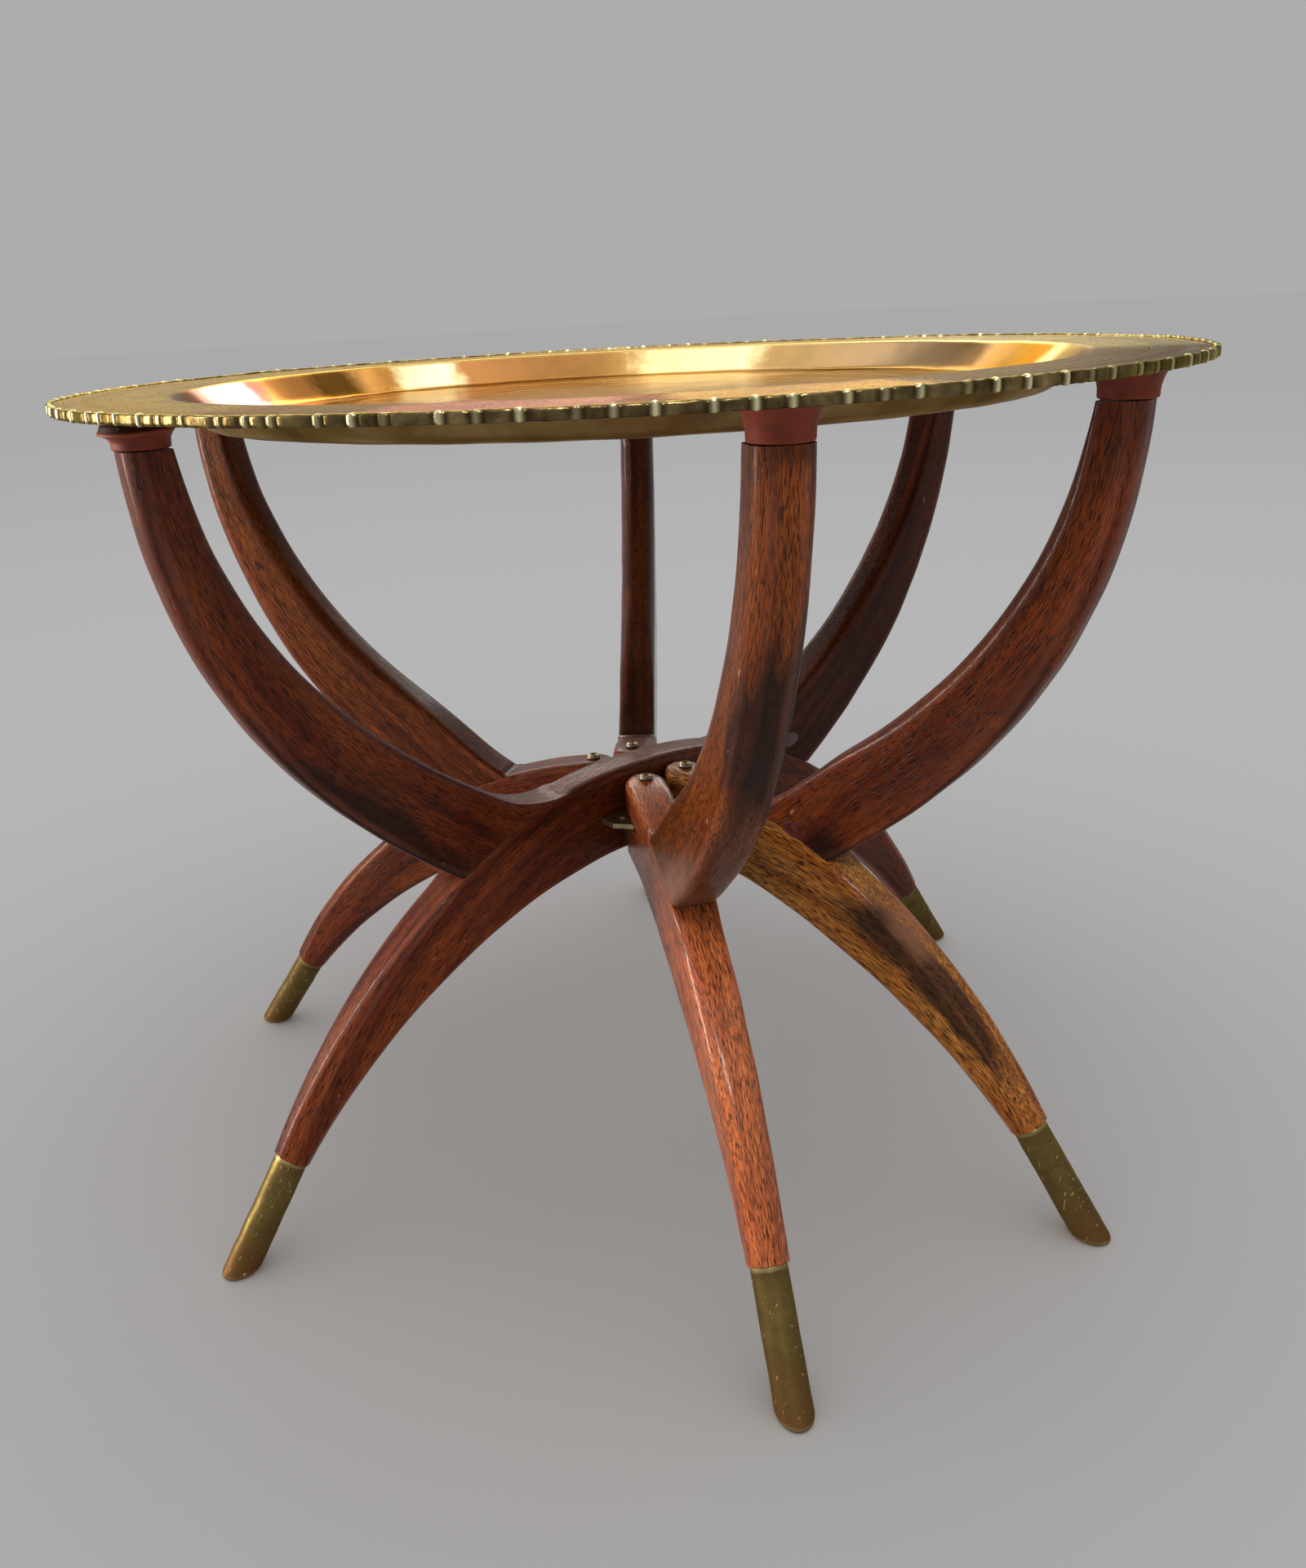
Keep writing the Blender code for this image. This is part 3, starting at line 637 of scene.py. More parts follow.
def makeSpine(seed, joint):
    line, depth = timber["spineLine"], spineDepth
    side = joinRings(shinRings(line, depth, np.linspace(0, 0.9985, 150), joint), tenonRings(line))
    grid, below = beamSection(*side)
    other = grid[:0:-1] * np.array([-1, 1, 1])
    grid, below = np.concatenate([other, grid]), np.concatenate([below[:0:-1], below])
    arc = np.broadcast_to(arcLength(grid.mean(1))[:, None], grid.shape[:2])
    piece = timberPiece("spine_beam", None, grid, below, arc, "darkMahogany", seed, ["spine_beam"])
    pockets = []
    half, reach, outside = (hinge[key] for key in ("pocketHalf", "pocketReach", "pocketFace"))
    gap = hinge["pocketGap"]
    for node in ("hinge_bracket_front", "hinge_bracket_rear"):
        low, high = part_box(node)
        near, far = (-outside, -reach) if high.y < 0 else (reach, outside)
        pockets.append(boxPiece("pocket", (-half, near, low.z - gap), (half, far, high.z + gap)))
    carve(piece, pockets)


joints = {name: makeArm(name, 11 + i) for i, name in enumerate(allLegs)}
for number, legName in enumerate(hingedLegs):
    makeHingedLeg(legName, 31 + number, joints[legName])
makeSpine(41, joints["right"])
print("timber made", [round(v, 4) for v in joints["front_left"] + joints["right"]])


def alloyMaterial(name, look):
    # Tarnished brass: olive film in soft clouds, brown near the floor, brighter where rubbed and in a painted
    # highlight ring on screw heads, with fine pits and scratches. The film is partly matt: where it is thick,
    # it is rougher and less of a metal.
    made, add, principled = newMaterial(name, Specular_Tint="#d8c9a0")
    place = add("TexCoord", output="Object")
    clouds = add("TexNoise", {"Vector": place, "Scale": 55.0, "Detail": 5.0, "Roughness": 0.6})
    specks = add("TexNoise", {"Vector": place, "Scale": 900.0, "Detail": 2.0, "Roughness": 0.5})
    streaks = add("Mapping", {"Vector": place, "Scale": (260, 900, 120), "Rotation": (0.5, 0.3, 0.2)})
    streaks = add("TexNoise", {"Vector": streaks, "Scale": 1.0, "Detail": 2.0, "Roughness": 0.6})

    height = add("SeparateXYZ", {0: place}, output="Z")
    low = add("Math", {0: clouds, 1: 0.5}, operation="MULTIPLY")
    low = add("Math", {0: height, 1: 22.0, 2: low}, operation="MULTIPLY_ADD")
    low = add("ValToRGB", {0: low}, stops=[(0.25, look["floorBrown"]), (0.95, 0.0)])
    pits = add("ValToRGB", {0: specks}, stops=[(0.3, 1.0), (0.36, 0.0)])
    dirt = add("Math", {0: pits, 1: 0.5}, operation="MULTIPLY")
    scratches = add("ValToRGB", {0: streaks}, stops=[(0.66, 0.0), (0.72, 0.6)])
    # edge: rubbed wear on the sabots, a painted highlight ring on the screw heads
    wearAndHighlight = add("Attribute", output="Fac", attribute_name="edge")
    wearAndHighlight = add("Math", {0: wearAndHighlight, 1: 0.7}, operation="MULTIPLY")
    wearAndHighlight = add("Math", {0: scratches, 1: wearAndHighlight}, operation="MAXIMUM")
    colour = add("ValToRGB", {0: clouds}, stops=look["film"])
    for amount, tone in ((low, look["brown"]), (dirt, look["pit"]), (wearAndHighlight, look["bright"])):
        colour = add("Mix", {0: amount, 6: colour, 7: tone}, output=2, data_type="RGBA")
    metal = add("ValToRGB", {0: clouds}, stops=[(0.3, look["metal"] - 0.15), (0.7, look["metal"] + 0.1)])
    rough = add("ValToRGB", {0: clouds}, stops=[(0.3, look["rough"] + 0.12), (0.7, look["rough"] - 0.05)])

    height = add("Math", {0: clouds, 1: 1.5}, operation="MULTIPLY")
    height = add("Math", {0: pits, 1: -1.0, 2: height}, operation="MULTIPLY_ADD")
    height = add("Math", {0: specks, 1: 0.4, 2: height}, operation="MULTIPLY_ADD")
    relief = add("Bump", {"Strength": 0.5, "Distance": 0.00015, "Height": height})
    plug(principled, Base_Color=colour, Metallic=metal, Roughness=rough, Normal=relief)
    return made


alloyLooks = {
    "tarnishedBrass": {
        "film": [(0.30, "#4a3c20"), (0.50, "#60502c"), (0.70, "#766437")],
        "brown": "#6b4526", "floorBrown": 0.75, "pit": "#241a10", "bright": "#cdb884",
        "metal": 0.72, "rough": 0.42,
    },
    "leafBrass": {
        "film": [(0.30, "#8d8058"), (0.50, "#aaa078"), (0.70, "#c4ba92")],
        "brown": "#6b5a3a", "floorBrown": 0.0, "pit": "#2a2418", "bright": "#e6dcb8",
        "metal": 0.8, "rough": 0.38,
    },
    "screwMetal": {
        "film": [(0.30, "#3e3426"), (0.50, "#5a4d39"), (0.70, "#80725a")],
        "brown": "#4a3828", "floorBrown": 0.0, "pit": "#1c140e", "bright": "#e8dfca",
        "metal": 0.85, "rough": 0.32,
    },
}
alloys = {name: alloyMaterial(name, look) for name, look in alloyLooks.items()}


def rubberMaterial():
    # Moulded natural rubber, red-brown, matt with a faint bloom: grips dust, paler and scuffed on its lip,
    # and near black on its dished top, which is painted shade.
    made, add, principled = newMaterial(
        "mouldedRubber", IOR=1.52, Specular_IOR_Level=0.25,
        Sheen_Weight=0.03, Sheen_Roughness=0.5, Sheen_Tint="#c8a090",
    )
    place = add("TexCoord", output="Object")
    clouds = add("TexNoise", {"Vector": place, "Scale": 70.0, "Detail": 4.0, "Roughness": 0.6})
    grit = add("TexNoise", {"Vector": place, "Scale": 1500.0, "Detail": 2.0, "Roughness": 0.5})
    edge = add("Attribute", output="Fac", attribute_name="edge")
    # the dark mix below is painted shade on the cap's dished top; on the timber the same channel is handling
    # grime
    grimeAndShade = add("Attribute", output="Fac", attribute_name="grimeAndShade")
    lip = add("ValToRGB", {0: clouds}, stops=[(0.35, 0.3), (0.65, 0.95)])
    lip = add("Math", {0: edge, 1: lip}, operation="MULTIPLY")
    scuffs = add("Mapping", {"Vector": place, "Scale": (300, 90, 500), "Rotation": (0.4, 0.7, 0.1)})
    scuffs = add("TexNoise", {"Vector": scuffs, "Scale": 1.0, "Detail": 2.0, "Roughness": 0.6})
    scuffs = add("ValToRGB", {0: scuffs}, stops=[(0.7, 0.0), (0.75, 0.5)])
    colour = add("ValToRGB", {0: clouds}, stops=[(0.3, "#6c2a16"), (0.55, "#8a3820"), (0.75, "#9c4628")])
    for amount, tone in ((lip, "#b06248"), (grimeAndShade, "#120807"), (scuffs, "#a06a55")):
        colour = add("Mix", {0: amount, 6: colour, 7: tone}, output=2, data_type="RGBA")
    rough = add("ValToRGB", {0: clouds}, stops=[(0.3, 0.5), (0.7, 0.66)])
    height = add("Math", {0: grit, 1: 0.3}, operation="MULTIPLY")
    height = add("Math", {0: clouds, 1: 2.0, 2: height}, operation="MULTIPLY_ADD")
    relief = add("Bump", {"Strength": 0.35, "Distance": 0.0002, "Height": height})
    plug(principled, Base_Color=colour, Roughness=rough, Normal=relief)
    return made


mouldedRubber = rubberMaterial()


def plainMaterial(name, look):
    # hide glue and turned end-grain plugs: a mottled colour, cloudy roughness and fine relief
    made, add, principled = newMaterial(name, IOR=look["ior"], Coat_Weight=look["coat"], Coat_Roughness=0.25)
    place = add("TexCoord", output="Object")
    clouds = add("TexNoise", {"Vector": place, "Scale": look["scale"], "Detail": 4.0, "Roughness": 0.6})
    fine = add("TexNoise", {"Vector": place, "Scale": look["scale"] * 9, "Detail": 2.0, "Roughness": 0.6})
    specks = add("ValToRGB", {0: fine}, stops=[(0.34, 0.6), (0.46, 0.0)])
    edge = add("Attribute", output="Fac", attribute_name="edge")
    colour = add("ValToRGB", {0: clouds}, stops=look["tones"])
    for amount, tone in ((specks, look["dark"]), (edge, look["rim"])):
        colour = add("Mix", {0: amount, 6: colour, 7: tone}, output=2, data_type="RGBA")
    rough = add("ValToRGB", {0: clouds}, stops=[(0.3, 0.32), (0.7, 0.5)])
    relief = add("Bump", {"Strength": 0.4, "Distance": 0.0002, "Height": fine})
    plug(principled, Base_Color=colour, Roughness=rough, Normal=relief)
    return made


plugWood = plainMaterial("endGrainPlug", {
    "ior": 1.5, "coat": 0.4, "scale": 350.0,
    "tones": [(0.30, "#3a100b"), (0.55, "#55190f"), (0.75, "#6a2416")], "dark": "#170705", "rim": "#120606",
})
driedGlue = plainMaterial("driedGlue", {
    "ior": 1.47, "coat": 0.3, "scale": 500.0,
    "tones": [(0.30, "#7c4a3a"), (0.55, "#b08472"), (0.75, "#d2b4a4")], "dark": "#5a2c20", "rim": "#a87c6c",
})
print("metal, rubber and plug finishes ready")

sabot = {
    "radius": 0.0092,
    "wall": 0.0007,
    "gap": 0.0003,
    "soleRounding": 0.0040,
    "soleThickness": 0.0015,
    "dent": 0.00010,
}


def makeSabot(name, seed):
    # A drawn tube round the ankle's axis. A point at distance s down the tube and turn f lies at
    # start + along*s + radius*(cos f * up + sin f * side); the tube ends where that meets the floor.
    ankle, along = onCurve(timber["legLine"], np.array([1.0]))
    ankle, along = ankle[0], along[0]
    up = np.array([-along[1], along[0]])
    start = ankle + along * sabot["gap"]
    f = np.linspace(0, 2 * math.pi, 112, endpoint=False)
    radius, wall, rounding = sabot["radius"], sabot["wall"], sabot["soleRounding"]

    def toFloor(rho, level=0.0):
        return (start[1] + rho * np.cos(f) * up[1] - level) / -along[1]

    def ring(rho, s):
        flat = start + along * np.broadcast_to(s, f.shape)[:, None] + (rho * np.cos(f))[:, None] * up
        return np.stack([flat[:, 0], np.broadcast_to(rho, f.shape) * np.sin(f), flat[:, 1]], -1)

    inner = radius - wall
    rings, edge = [ring(inner * 0.5, toFloor(inner * 0.5, sabot["soleThickness"]))], [0.0]
    insideEnd = toFloor(inner, sabot["soleThickness"])
    for share in np.linspace(1, 0, 6):
        rings.append(ring(inner, insideEnd * share))
        edge.append(0.0)
    for turn in np.radians([30, 90, 150]):  # rolled mouth
        rings.append(ring(inner + wall * (1 - math.cos(turn)) / 2, -0.0003 * math.sin(turn)))
        edge.append(1.0)
    outsideEnd = toFloor(radius) - rounding
    for share in np.linspace(0.004, 1, 70):
        rings.append(ring(radius, outsideEnd * share))
        edge.append(0.35 if share < 0.02 else 0.0)
    for turn in np.radians(np.linspace(8, 90, 12)):
        rho = radius - rounding * (1 - math.cos(turn)) * 0.8
        rings.append(ring(rho, toFloor(rho) - rounding * (1 - math.sin(turn))))
        edge.append(0.25)
    for share in (0.85, 0.6, 0.3):
        rho = (radius - rounding * 0.8) * share
        rings.append(ring(rho, toFloor(rho)))
        edge.append(0.0)
    grid = placed(name, np.array(rings))
    dents = waver(grid, 0.013, seed) * sabot["dent"]
    dents[:10] = 0
    dents[-15:] = 0
    grid = grid + rowNormals(grid) * dents[..., None]
    values = {"edge": np.broadcast_to(np.array(edge)[:, None], grid.shape[:2])}
    piece = surface("sabot_" + name + "_tube", grid, values=values, sharpAngle=50)
    finishPiece(piece, bodyOf[name], alloys["tarnishedBrass"], ["sabot_" + name])


rubberCap = {
    "height": 0.0165,
    "sleeve": 0.0129,
    "rim": 0.0165,
    "boreRadius": 0.0103,
    "boreHeight": 0.0113,
}


def makeCap(name, seed):
    # A profile of (radius, height above the arm's tip) turned about the tip. On the left end's cap the outer
    # lip has peeled down, so its heights and radii also change round the turn.
    top, sleeve, rim = rubberCap["height"], rubberCap["sleeve"], rubberCap["rim"]
    bore = rubberCap["boreRadius"]
    profile = np.array([
        (0.2 * rim, top - 0.0030), (0.55 * rim, top - 0.0026), (0.80 * rim, top - 0.0012),
        (0.88 * rim, top - 0.0003), (0.915 * rim, top), (0.955 * rim, top - 0.0001),
        (0.985 * rim, top - 0.0007), (rim, top - 0.0018), (0.975 * rim, top - 0.0030),
        (0.915 * rim, top - 0.0050), (0.855 * rim, top - 0.0072), (0.812 * rim, top - 0.0095),
        (sleeve + 0.0001, top - 0.0115), (sleeve, top - 0.0135), (sleeve, 0.0016), (sleeve - 0.0002, 0.0009),
        (sleeve - 0.0008, 0.0005), (sleeve - 0.0016, 0.0004), (bore, 0.0005),
        (bore, rubberCap["boreHeight"]), (0.3 * bore, rubberCap["boreHeight"]),
    ])
    turn = np.linspace(0, 2 * math.pi, 96, endpoint=False)
    steps = np.linspace(0, len(profile) - 1, 74)
    radius = np.interp(steps, np.arange(len(profile)), profile[:, 0])[:, None] + 0 * turn
    height = np.interp(steps, np.arange(len(profile)), profile[:, 1])[:, None] + 0 * turn
    outside = (steps < 17)[:, None] & (steps > 2)[:, None]
    lip = bump(steps, 6.0, 1.6)[:, None] + 0 * turn
    # dark: painted shade over the dished top, under the tray
    dark = smooth(-steps, -4.2, -2.0)[:, None] + 0 * turn
    if name == "left":
        away = 0.5 + 0.5 * np.cos(turn - 0.55)
        peeled = smooth(-steps, -13.5, -6.0)[:, None] * smooth(steps, 2.4, 5.0)[:, None] + 0 * turn
        height -= (0.0052 + 0.0026 * away) * peeled
        radius += (0.0030 * away - 0.0010) * peeled * smooth(-steps, -11.0, -7.0)[:, None]
        core = (steps < 3.6)[:, None] + 0 * turn
        radius -= 0.0040 * core * smooth(steps, 1.0, 2.5)[:, None] * (1 - 0.3 * away)
        # the left cap's sunken core is darkened with painted shade as well
        dark = np.maximum(dark, smooth(-steps, -5.6, -4.6)[:, None] + 0 * turn)
    wobble = waver(np.stack([np.cos(turn), np.sin(turn), 0 * turn], -1), 2.2, seed)
    radius = radius + 0.00025 * wobble * outside
    height = height + 0.00022 * np.roll(wobble, 20) * lip
    grid = np.stack([
        timber["tipOut"] + radius * np.cos(turn), radius * np.sin(turn), timber["tipHeight"] + height,
    ], -1)
    values = {"edge": lip * 0.8, "grimeAndShade": dark * 0.85}
    piece = surface("rubber_cap_" + name + "_moulding", placed(name, grid), values=values, sharpAngle=60)
    finishPiece(piece, bodyOf[name], mouldedRubber, ["rubber_cap_" + name])


def screwPiece(name, foot, axis, sizes, body, replaced, spin=0.5):
    # Domed cross-recessed head on a plain shank. Height over the head is the dome less a cross of two slots
    # with sloping walls. foot is the middle of the head's underside, axis points out of the head.
    rows, columns = 26, 72
    turn = np.linspace(0, 2 * math.pi, columns, endpoint=False)
    radius = np.linspace(0.02, 1, rows)[:, None] * sizes["head"] + 0 * turn
    x, y = radius * np.cos(turn + spin), radius * np.sin(turn + spin)
    dome = sizes["rim"] + sizes["dome"] * np.sqrt(np.clip(1 - (radius / sizes["head"]) ** 2, 0, 1))

    def arm(across, along):
        return (1 - smooth(np.abs(across), 0.05 * sizes["head"], 0.13 * sizes["head"])) * (
            1 - smooth(np.abs(along), 0.42 * sizes["head"], 0.58 * sizes["head"]))

    recess = np.maximum(arm(x, y), arm(y, x))
    height = dome - recess * sizes["recess"]
    head = np.stack([radius * np.cos(turn), radius * np.sin(turn), height], -1)
    tail = [(sizes["head"], 0.35 * sizes["rim"]), (0.97 * sizes["head"], 0.0), (sizes["shank"], 0.0),
            (sizes["shank"], -sizes["length"] * 0.9), (0.3 * sizes["shank"], -sizes["length"])]
    tail = np.array([[[r * math.cos(a), r * math.sin(a), z] for a in turn] for r, z in tail])
    grid = np.concatenate([head, tail])
    axis = np.array(axis, float)
    side = unit(np.cross([0.3, 0.2, 0.9], axis)) if abs(axis[2]) < 0.9 else np.array([1.0, 0, 0])
    other = np.cross(axis, side)
    grid = np.array(foot) + grid[..., :1] * side + grid[..., 1:2] * other + grid[..., 2:] * axis
    # edge: a painted highlight, a bright ring round the dome kept off the recess
    edge = 0.8 * bump(radius / sizes["head"], 0.75, 0.25) * (1 - recess)
    edge = np.concatenate([edge, np.zeros((len(tail), columns))])
    piece = surface(name, grid, values={"edge": edge}, sharpAngle=40)
    finishPiece(piece, body, alloys["screwMetal"], replaced)


pivotScrew = {
    "head": 0.0042, "rim": 0.0006, "dome": 0.0022, "recess": 0.0012, "shank": 0.0019, "length": 0.036,
}
bracketScrew = {
    "head": 0.0026, "rim": 0.0002, "dome": 0.0003, "recess": 0.0005, "shank": 0.0013, "length": 0.009,
}


def makeHinges():
    for name in hingedLegs:
        joint = [j for j in frame["joints"] if j["child"] == bodyOf[name]][0]
        foot = (joint["pos_m"][0], joint["pos_m"][1], hinge["screwTop"])
        node = "pivot_screw_" + name
        screwPiece(node + "_head", foot, (0, 0, 1), pivotScrew, bodyOf[name], [node])
    for side in ("front", "rear"):
        leaf = softened("hinge_bracket_" + side, 0.0005)
        finishPiece(leaf, "base", alloys["leafBrass"], ["hinge_bracket_" + side])
        for place in ("left", "right"):
            node = f"bracket_screw_{side}_{place}"
            low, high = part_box(node)
            facing = -1 if abs(low.y) > abs(high.y) else 1
            face = low.y if facing < 0 else high.y
            foot = ((low.x + high.x) / 2, face - facing * 0.0003, (low.z + high.z) / 2)
            screwPiece(node + "_head", foot, (0, facing, 0), bracketScrew, "base", [node], 0.3)
        print("hinge made:", side)


armPlug = {
    "longHalf": 0.0081,
    "shortHalf": 0.0049,
    "proud": 0.0004,
    "hingedPlace": 0.114,
    "spinePlace": 0.118,
}


def makePlug(name, seed):
    # Oval end of a round dowel driven in at a slant: a shallow dome over an ellipse, proud of the arm's side.
    low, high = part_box("arm_plug_" + name)
    origin, out = legFrame(name)
    side = np.array([-out[1], out[0]])
    corners = np.array([[x, y] for x in (low.x, high.x) for y in (low.y, high.y)]) - origin
    facing = 1 if (corners @ side).mean() > 0 else -1
    middle = armPlug["hingedPlace"] if name in hingedLegs else armPlug["spinePlace"]
    height = (low.z + high.z) / 2
    turn = np.linspace(0, 2 * math.pi, 72, endpoint=False)
    share = np.concatenate([np.linspace(0.04, 1, 16), [1.0, 0.7, 0.3]])[:, None] + 0 * turn
    dome = armPlug["proud"] * (1 - np.linspace(0, 1, 16) ** 5) - 0.00005
    proud = np.concatenate([dome, [-0.002, -0.003, -0.003]])[:, None] + 0 * turn
    x, z = share * np.cos(turn), share * np.sin(turn)
    uneven = 0.00005 * waver(np.stack([x, z, 0 * share], -1), 0.6, seed)
    y = facing * (timber["thickness"] / 2 + proud + uneven)
    grid = np.stack([middle + armPlug["longHalf"] * x, y, height + armPlug["shortHalf"] * z], -1)
    edge = smooth(share, 0.86, 0.98)
    piece = surface("arm_plug_" + name + "_end", placed(name, grid), values={"edge": edge}, sharpAngle=50)
    finishPiece(piece, bodyOf[name], plugWood, ["arm_plug_" + name])


def makeGlue(name, place, radius, seed):
    # A ragged bead squeezed out along the notch: a thin tube across the leg whose radius wanders.
    y = np.linspace(-0.0128, 0.0128, 90)
    turn = np.linspace(0, 2 * math.pi, 14, endpoint=False)
    line = np.stack([y, 0 * y, 0 * y], -1)
    size = radius * (0.75 + 0.45 * waver(line, 0.006, seed) + 0.25 * waver(line, 0.0021, seed + 1))
    size = np.clip(size, 0.15 * radius, None) * (1 - smooth(np.abs(y), 0.0105, 0.0130))
    size = np.maximum(size, 0.00005)[:, None]
    wander = 0.0008 * waver(line, 0.011, seed + 2)[:, None]
    top = legTop(timber["legLine"], legDepth, timber["stubEnd"])
    height = np.interp(place, top[:, 0], top[:, 1])
    out, rise = place - 0.0002 + wander + size * np.cos(turn), height + 0.0001 + size * np.sin(turn)
    grid = np.stack([out, y[:, None] + 0 * turn, rise], -1)
    values = {"edge": np.zeros(grid.shape[:2])}
    piece = surface("glue_" + name, placed(name, grid), values=values, sharpAngle=80)
    finishPiece(piece, bodyOf[name], driedGlue)


for number, legName in enumerate(allLegs):
    makeSabot(legName, 51 + number)
    makeCap(legName, 61 + number)
    makePlug(legName, 71 + number)
makeHinges()
makeGlue("front_left", joints["front_left"][0], 0.0013, 81)
makeGlue("rear_left", joints["rear_left"][0], 0.0004, 84)
for legName in allLegs:
    frame["nodes"]["arm_screw_" + legName].data.materials[0] = alloys["screwMetal"]
print("sabots, caps, plugs, hinges and glue made")

tray = {
    "radius": 0.300,
    "wellRadius": 0.2425,
    "floorRadius": 0.226,
    "flangeHeight": 0.4585,
    "floorHeight": 0.4415,
    "sheet": 0.0012,
    "bandHeight": 0.0045,
    "bandWidth": 0.0030,
    "groups": 40,  # long, short, short bars between the edge's beads, over and over
    "bars": (0.42, 0.28, 0.30),
    "hammering": 0.00016,
}


def trayLift(x, y):
    # how far hand work has pushed the sheet up or down at (x, y)
    flat = np.stack([x, y, 0 * x], -1)
    radius = np.hypot(x, y)
    soft = waver(flat, 0.075, 91) + 0.6 * waver(flat, 0.030, 92)
    soft = soft * smooth(radius, 0.005, 0.05) * (1 - 0.8 * smooth(radius, 0.235, 0.255))
    rim = 0.0005 * np.clip(waver(flat, 0.120, 93), 0, None) * smooth(radius, 0.262, 0.298)
    return soft * tray["hammering"] + rim


def softPath(points, rounding, spacing):
    # an open line through points with its corners rounded by quadratic curves, then evenly resampled
    points = np.array(points, float)
    parts = [points[:1]]
    q = np.linspace(0, 1, 9)[:, None]
    for before, corner, after, size in zip(points, points[1:], points[2:], rounding):
        start = corner + unit(before - corner) * size
        end = corner + unit(after - corner) * size
        parts.append((1 - q) ** 2 * start + 2 * q * (1 - q) * corner + q * q * end)
    line = np.concatenate(parts + [points[-1:]])
    lengths = arcLength(line)
    wanted = np.linspace(0, lengths[-1], int(lengths[-1] / spacing))
    wanted = np.unique(np.round(np.concatenate([wanted, lengths]), 6))
    return np.stack([np.interp(wanted, lengths, line[:, 0]), np.interp(wanted, lengths, line[:, 1])], -1)


def makeTraySheet(material):
    # Floor, sloping wall and flange turned about Z, then the same line again one sheet thickness below.
    edge = tray["radius"] - 0.0022
    top, floor, sheet = tray["flangeHeight"], tray["floorHeight"], tray["sheet"]
    corners = [(0.002, floor), (tray["floorRadius"], floor), (tray["wellRadius"], top), (edge, top)]
    upper = softPath(corners, (0.006, 0.003), 0.0042)
    slope = unit(np.gradient(upper, axis=0))
    lower = (upper + np.stack([slope[:, 1], -slope[:, 0]], -1) * sheet)[::-1]
    profile = np.concatenate([upper, lower])
    turn = np.linspace(0, 2 * math.pi, 560, endpoint=False)
    x, y = profile[:, :1] * np.cos(turn), profile[:, :1] * np.sin(turn)
    grid = np.stack([x, y, profile[:, 1:] + trayLift(x, y)], -1)
    radius = profile[:, 0]
    underside = (np.arange(len(profile)) >= len(upper)).astype(float)
    values = {
        "wall": smooth(radius, 0.2235, 0.2275) * (1 - smooth(radius, 0.2405, 0.2435)) * (1 - underside),
        "flange": smooth(radius, 0.2410, 0.2435) * (1 - underside),
        "underside": underside,
    }
    values = {key: np.broadcast_to(data[:, None], grid.shape[:2]) for key, data in values.items()}
    turns = turn / (2 * math.pi)
    piece = surface("tray_sheet", grid, values=values, turns=turns, lengths=radius[:, None], sharpAngle=60)
    return finishPiece(piece, "lift_off_tray", material, ["tray"])


def makeTrayBand(material):
    # A thick rounded bar bent round the edge, chased into long and short bars with a raised bead between
    # each. Its section is a superellipse; beads push it out and up, each bar is crowned and its ends step in.
    bars = np.cumsum(np.tile(tray["bars"], tray["groups"])) / tray["groups"]
    rng = np.random.default_rng(7)
    bars = bars[:-1] + rng.normal(size=len(bars) - 1) * 0.00035
    starts = np.concatenate([[0.0], bars])
    ends = np.concatenate([bars, [1.0]])
    k = np.arange(18) / 18
    local = k - 0.115 * np.sin(2 * math.pi * k)
    turns = (starts[:, None] + (ends - starts)[:, None] * local).ravel()
    circumference = 2 * math.pi * tray["radius"]
    size = ((ends - starts)[:, None] * circumference + 0 * local).ravel()
    inBar = np.tile(local, len(starts))
    toBead = np.minimum(inBar, 1 - inBar) * size
    strength = np.repeat(rng.uniform(0.15, 1.15, len(starts)), len(k))
    strength = np.where(inBar < 0.5, strength, np.roll(strength, -len(k)))
    bead = bump(toBead, 0.0, 0.0011) * strength
    step = bump(toBead, 0.0025, 0.0009)
    crown = 1 - (2 * inBar - 1) ** 4
    around = np.linspace(0, 2 * math.pi, 30, endpoint=False)
    c, s = np.cos(around)[:, None], np.sin(around)[:, None]
    wide = np.sign(c) * np.abs(c) ** 0.62 * tray["bandWidth"] / 2
    tall = np.sign(s) * np.abs(s) ** 0.62 * tray["bandHeight"] / 2
    outer = smooth(c, -0.2, 0.6)
    upperHalf = smooth(s, -0.1, 0.8)
    push = 0.0006 * bead + 0.0003 * crown - 0.0006 * step
    radius = tray["radius"] - tray["bandWidth"] / 2 - 0.0003 + wide + outer * push
    middle = tray["flangeHeight"] + 0.0008 - tray["bandHeight"] / 2
    lift = upperHalf * (0.0005 * bead - 0.0002 * step)
    height = middle + tall * (1 + 0.06 * crown) + lift - (1 - upperHalf) * 0.0004 * bead
    turn = turns * 2 * math.pi
    x, y = radius * np.cos(turn), radius * np.sin(turn)
    rough = waver(np.stack([x, y, height], -1), 0.0045, 95) * 0.00012
    grid = np.stack([x, y, height + trayLift(x, y) + rough], -1)
    values = {
        "bead": np.broadcast_to(np.clip(bead, 0, 1.2) * np.clip(outer + upperHalf, 0, 1), grid.shape[:2]),
        "joint": np.broadcast_to(step * outer, grid.shape[:2]),
        "edge": np.broadcast_to(upperHalf * outer, grid.shape[:2]),
    }
    lengths = around[:, None] * 0.002
    piece = surface("tray_edge_band", grid, True, values=values, turns=turns, lengths=lengths, sharpAngle=70)
    return finishPiece(piece, "lift_off_tray", material)


def turnStops(stops):
    # colour stops given by the turn in degrees
    return [(degrees / 360, colour) for degrees, colour in stops]


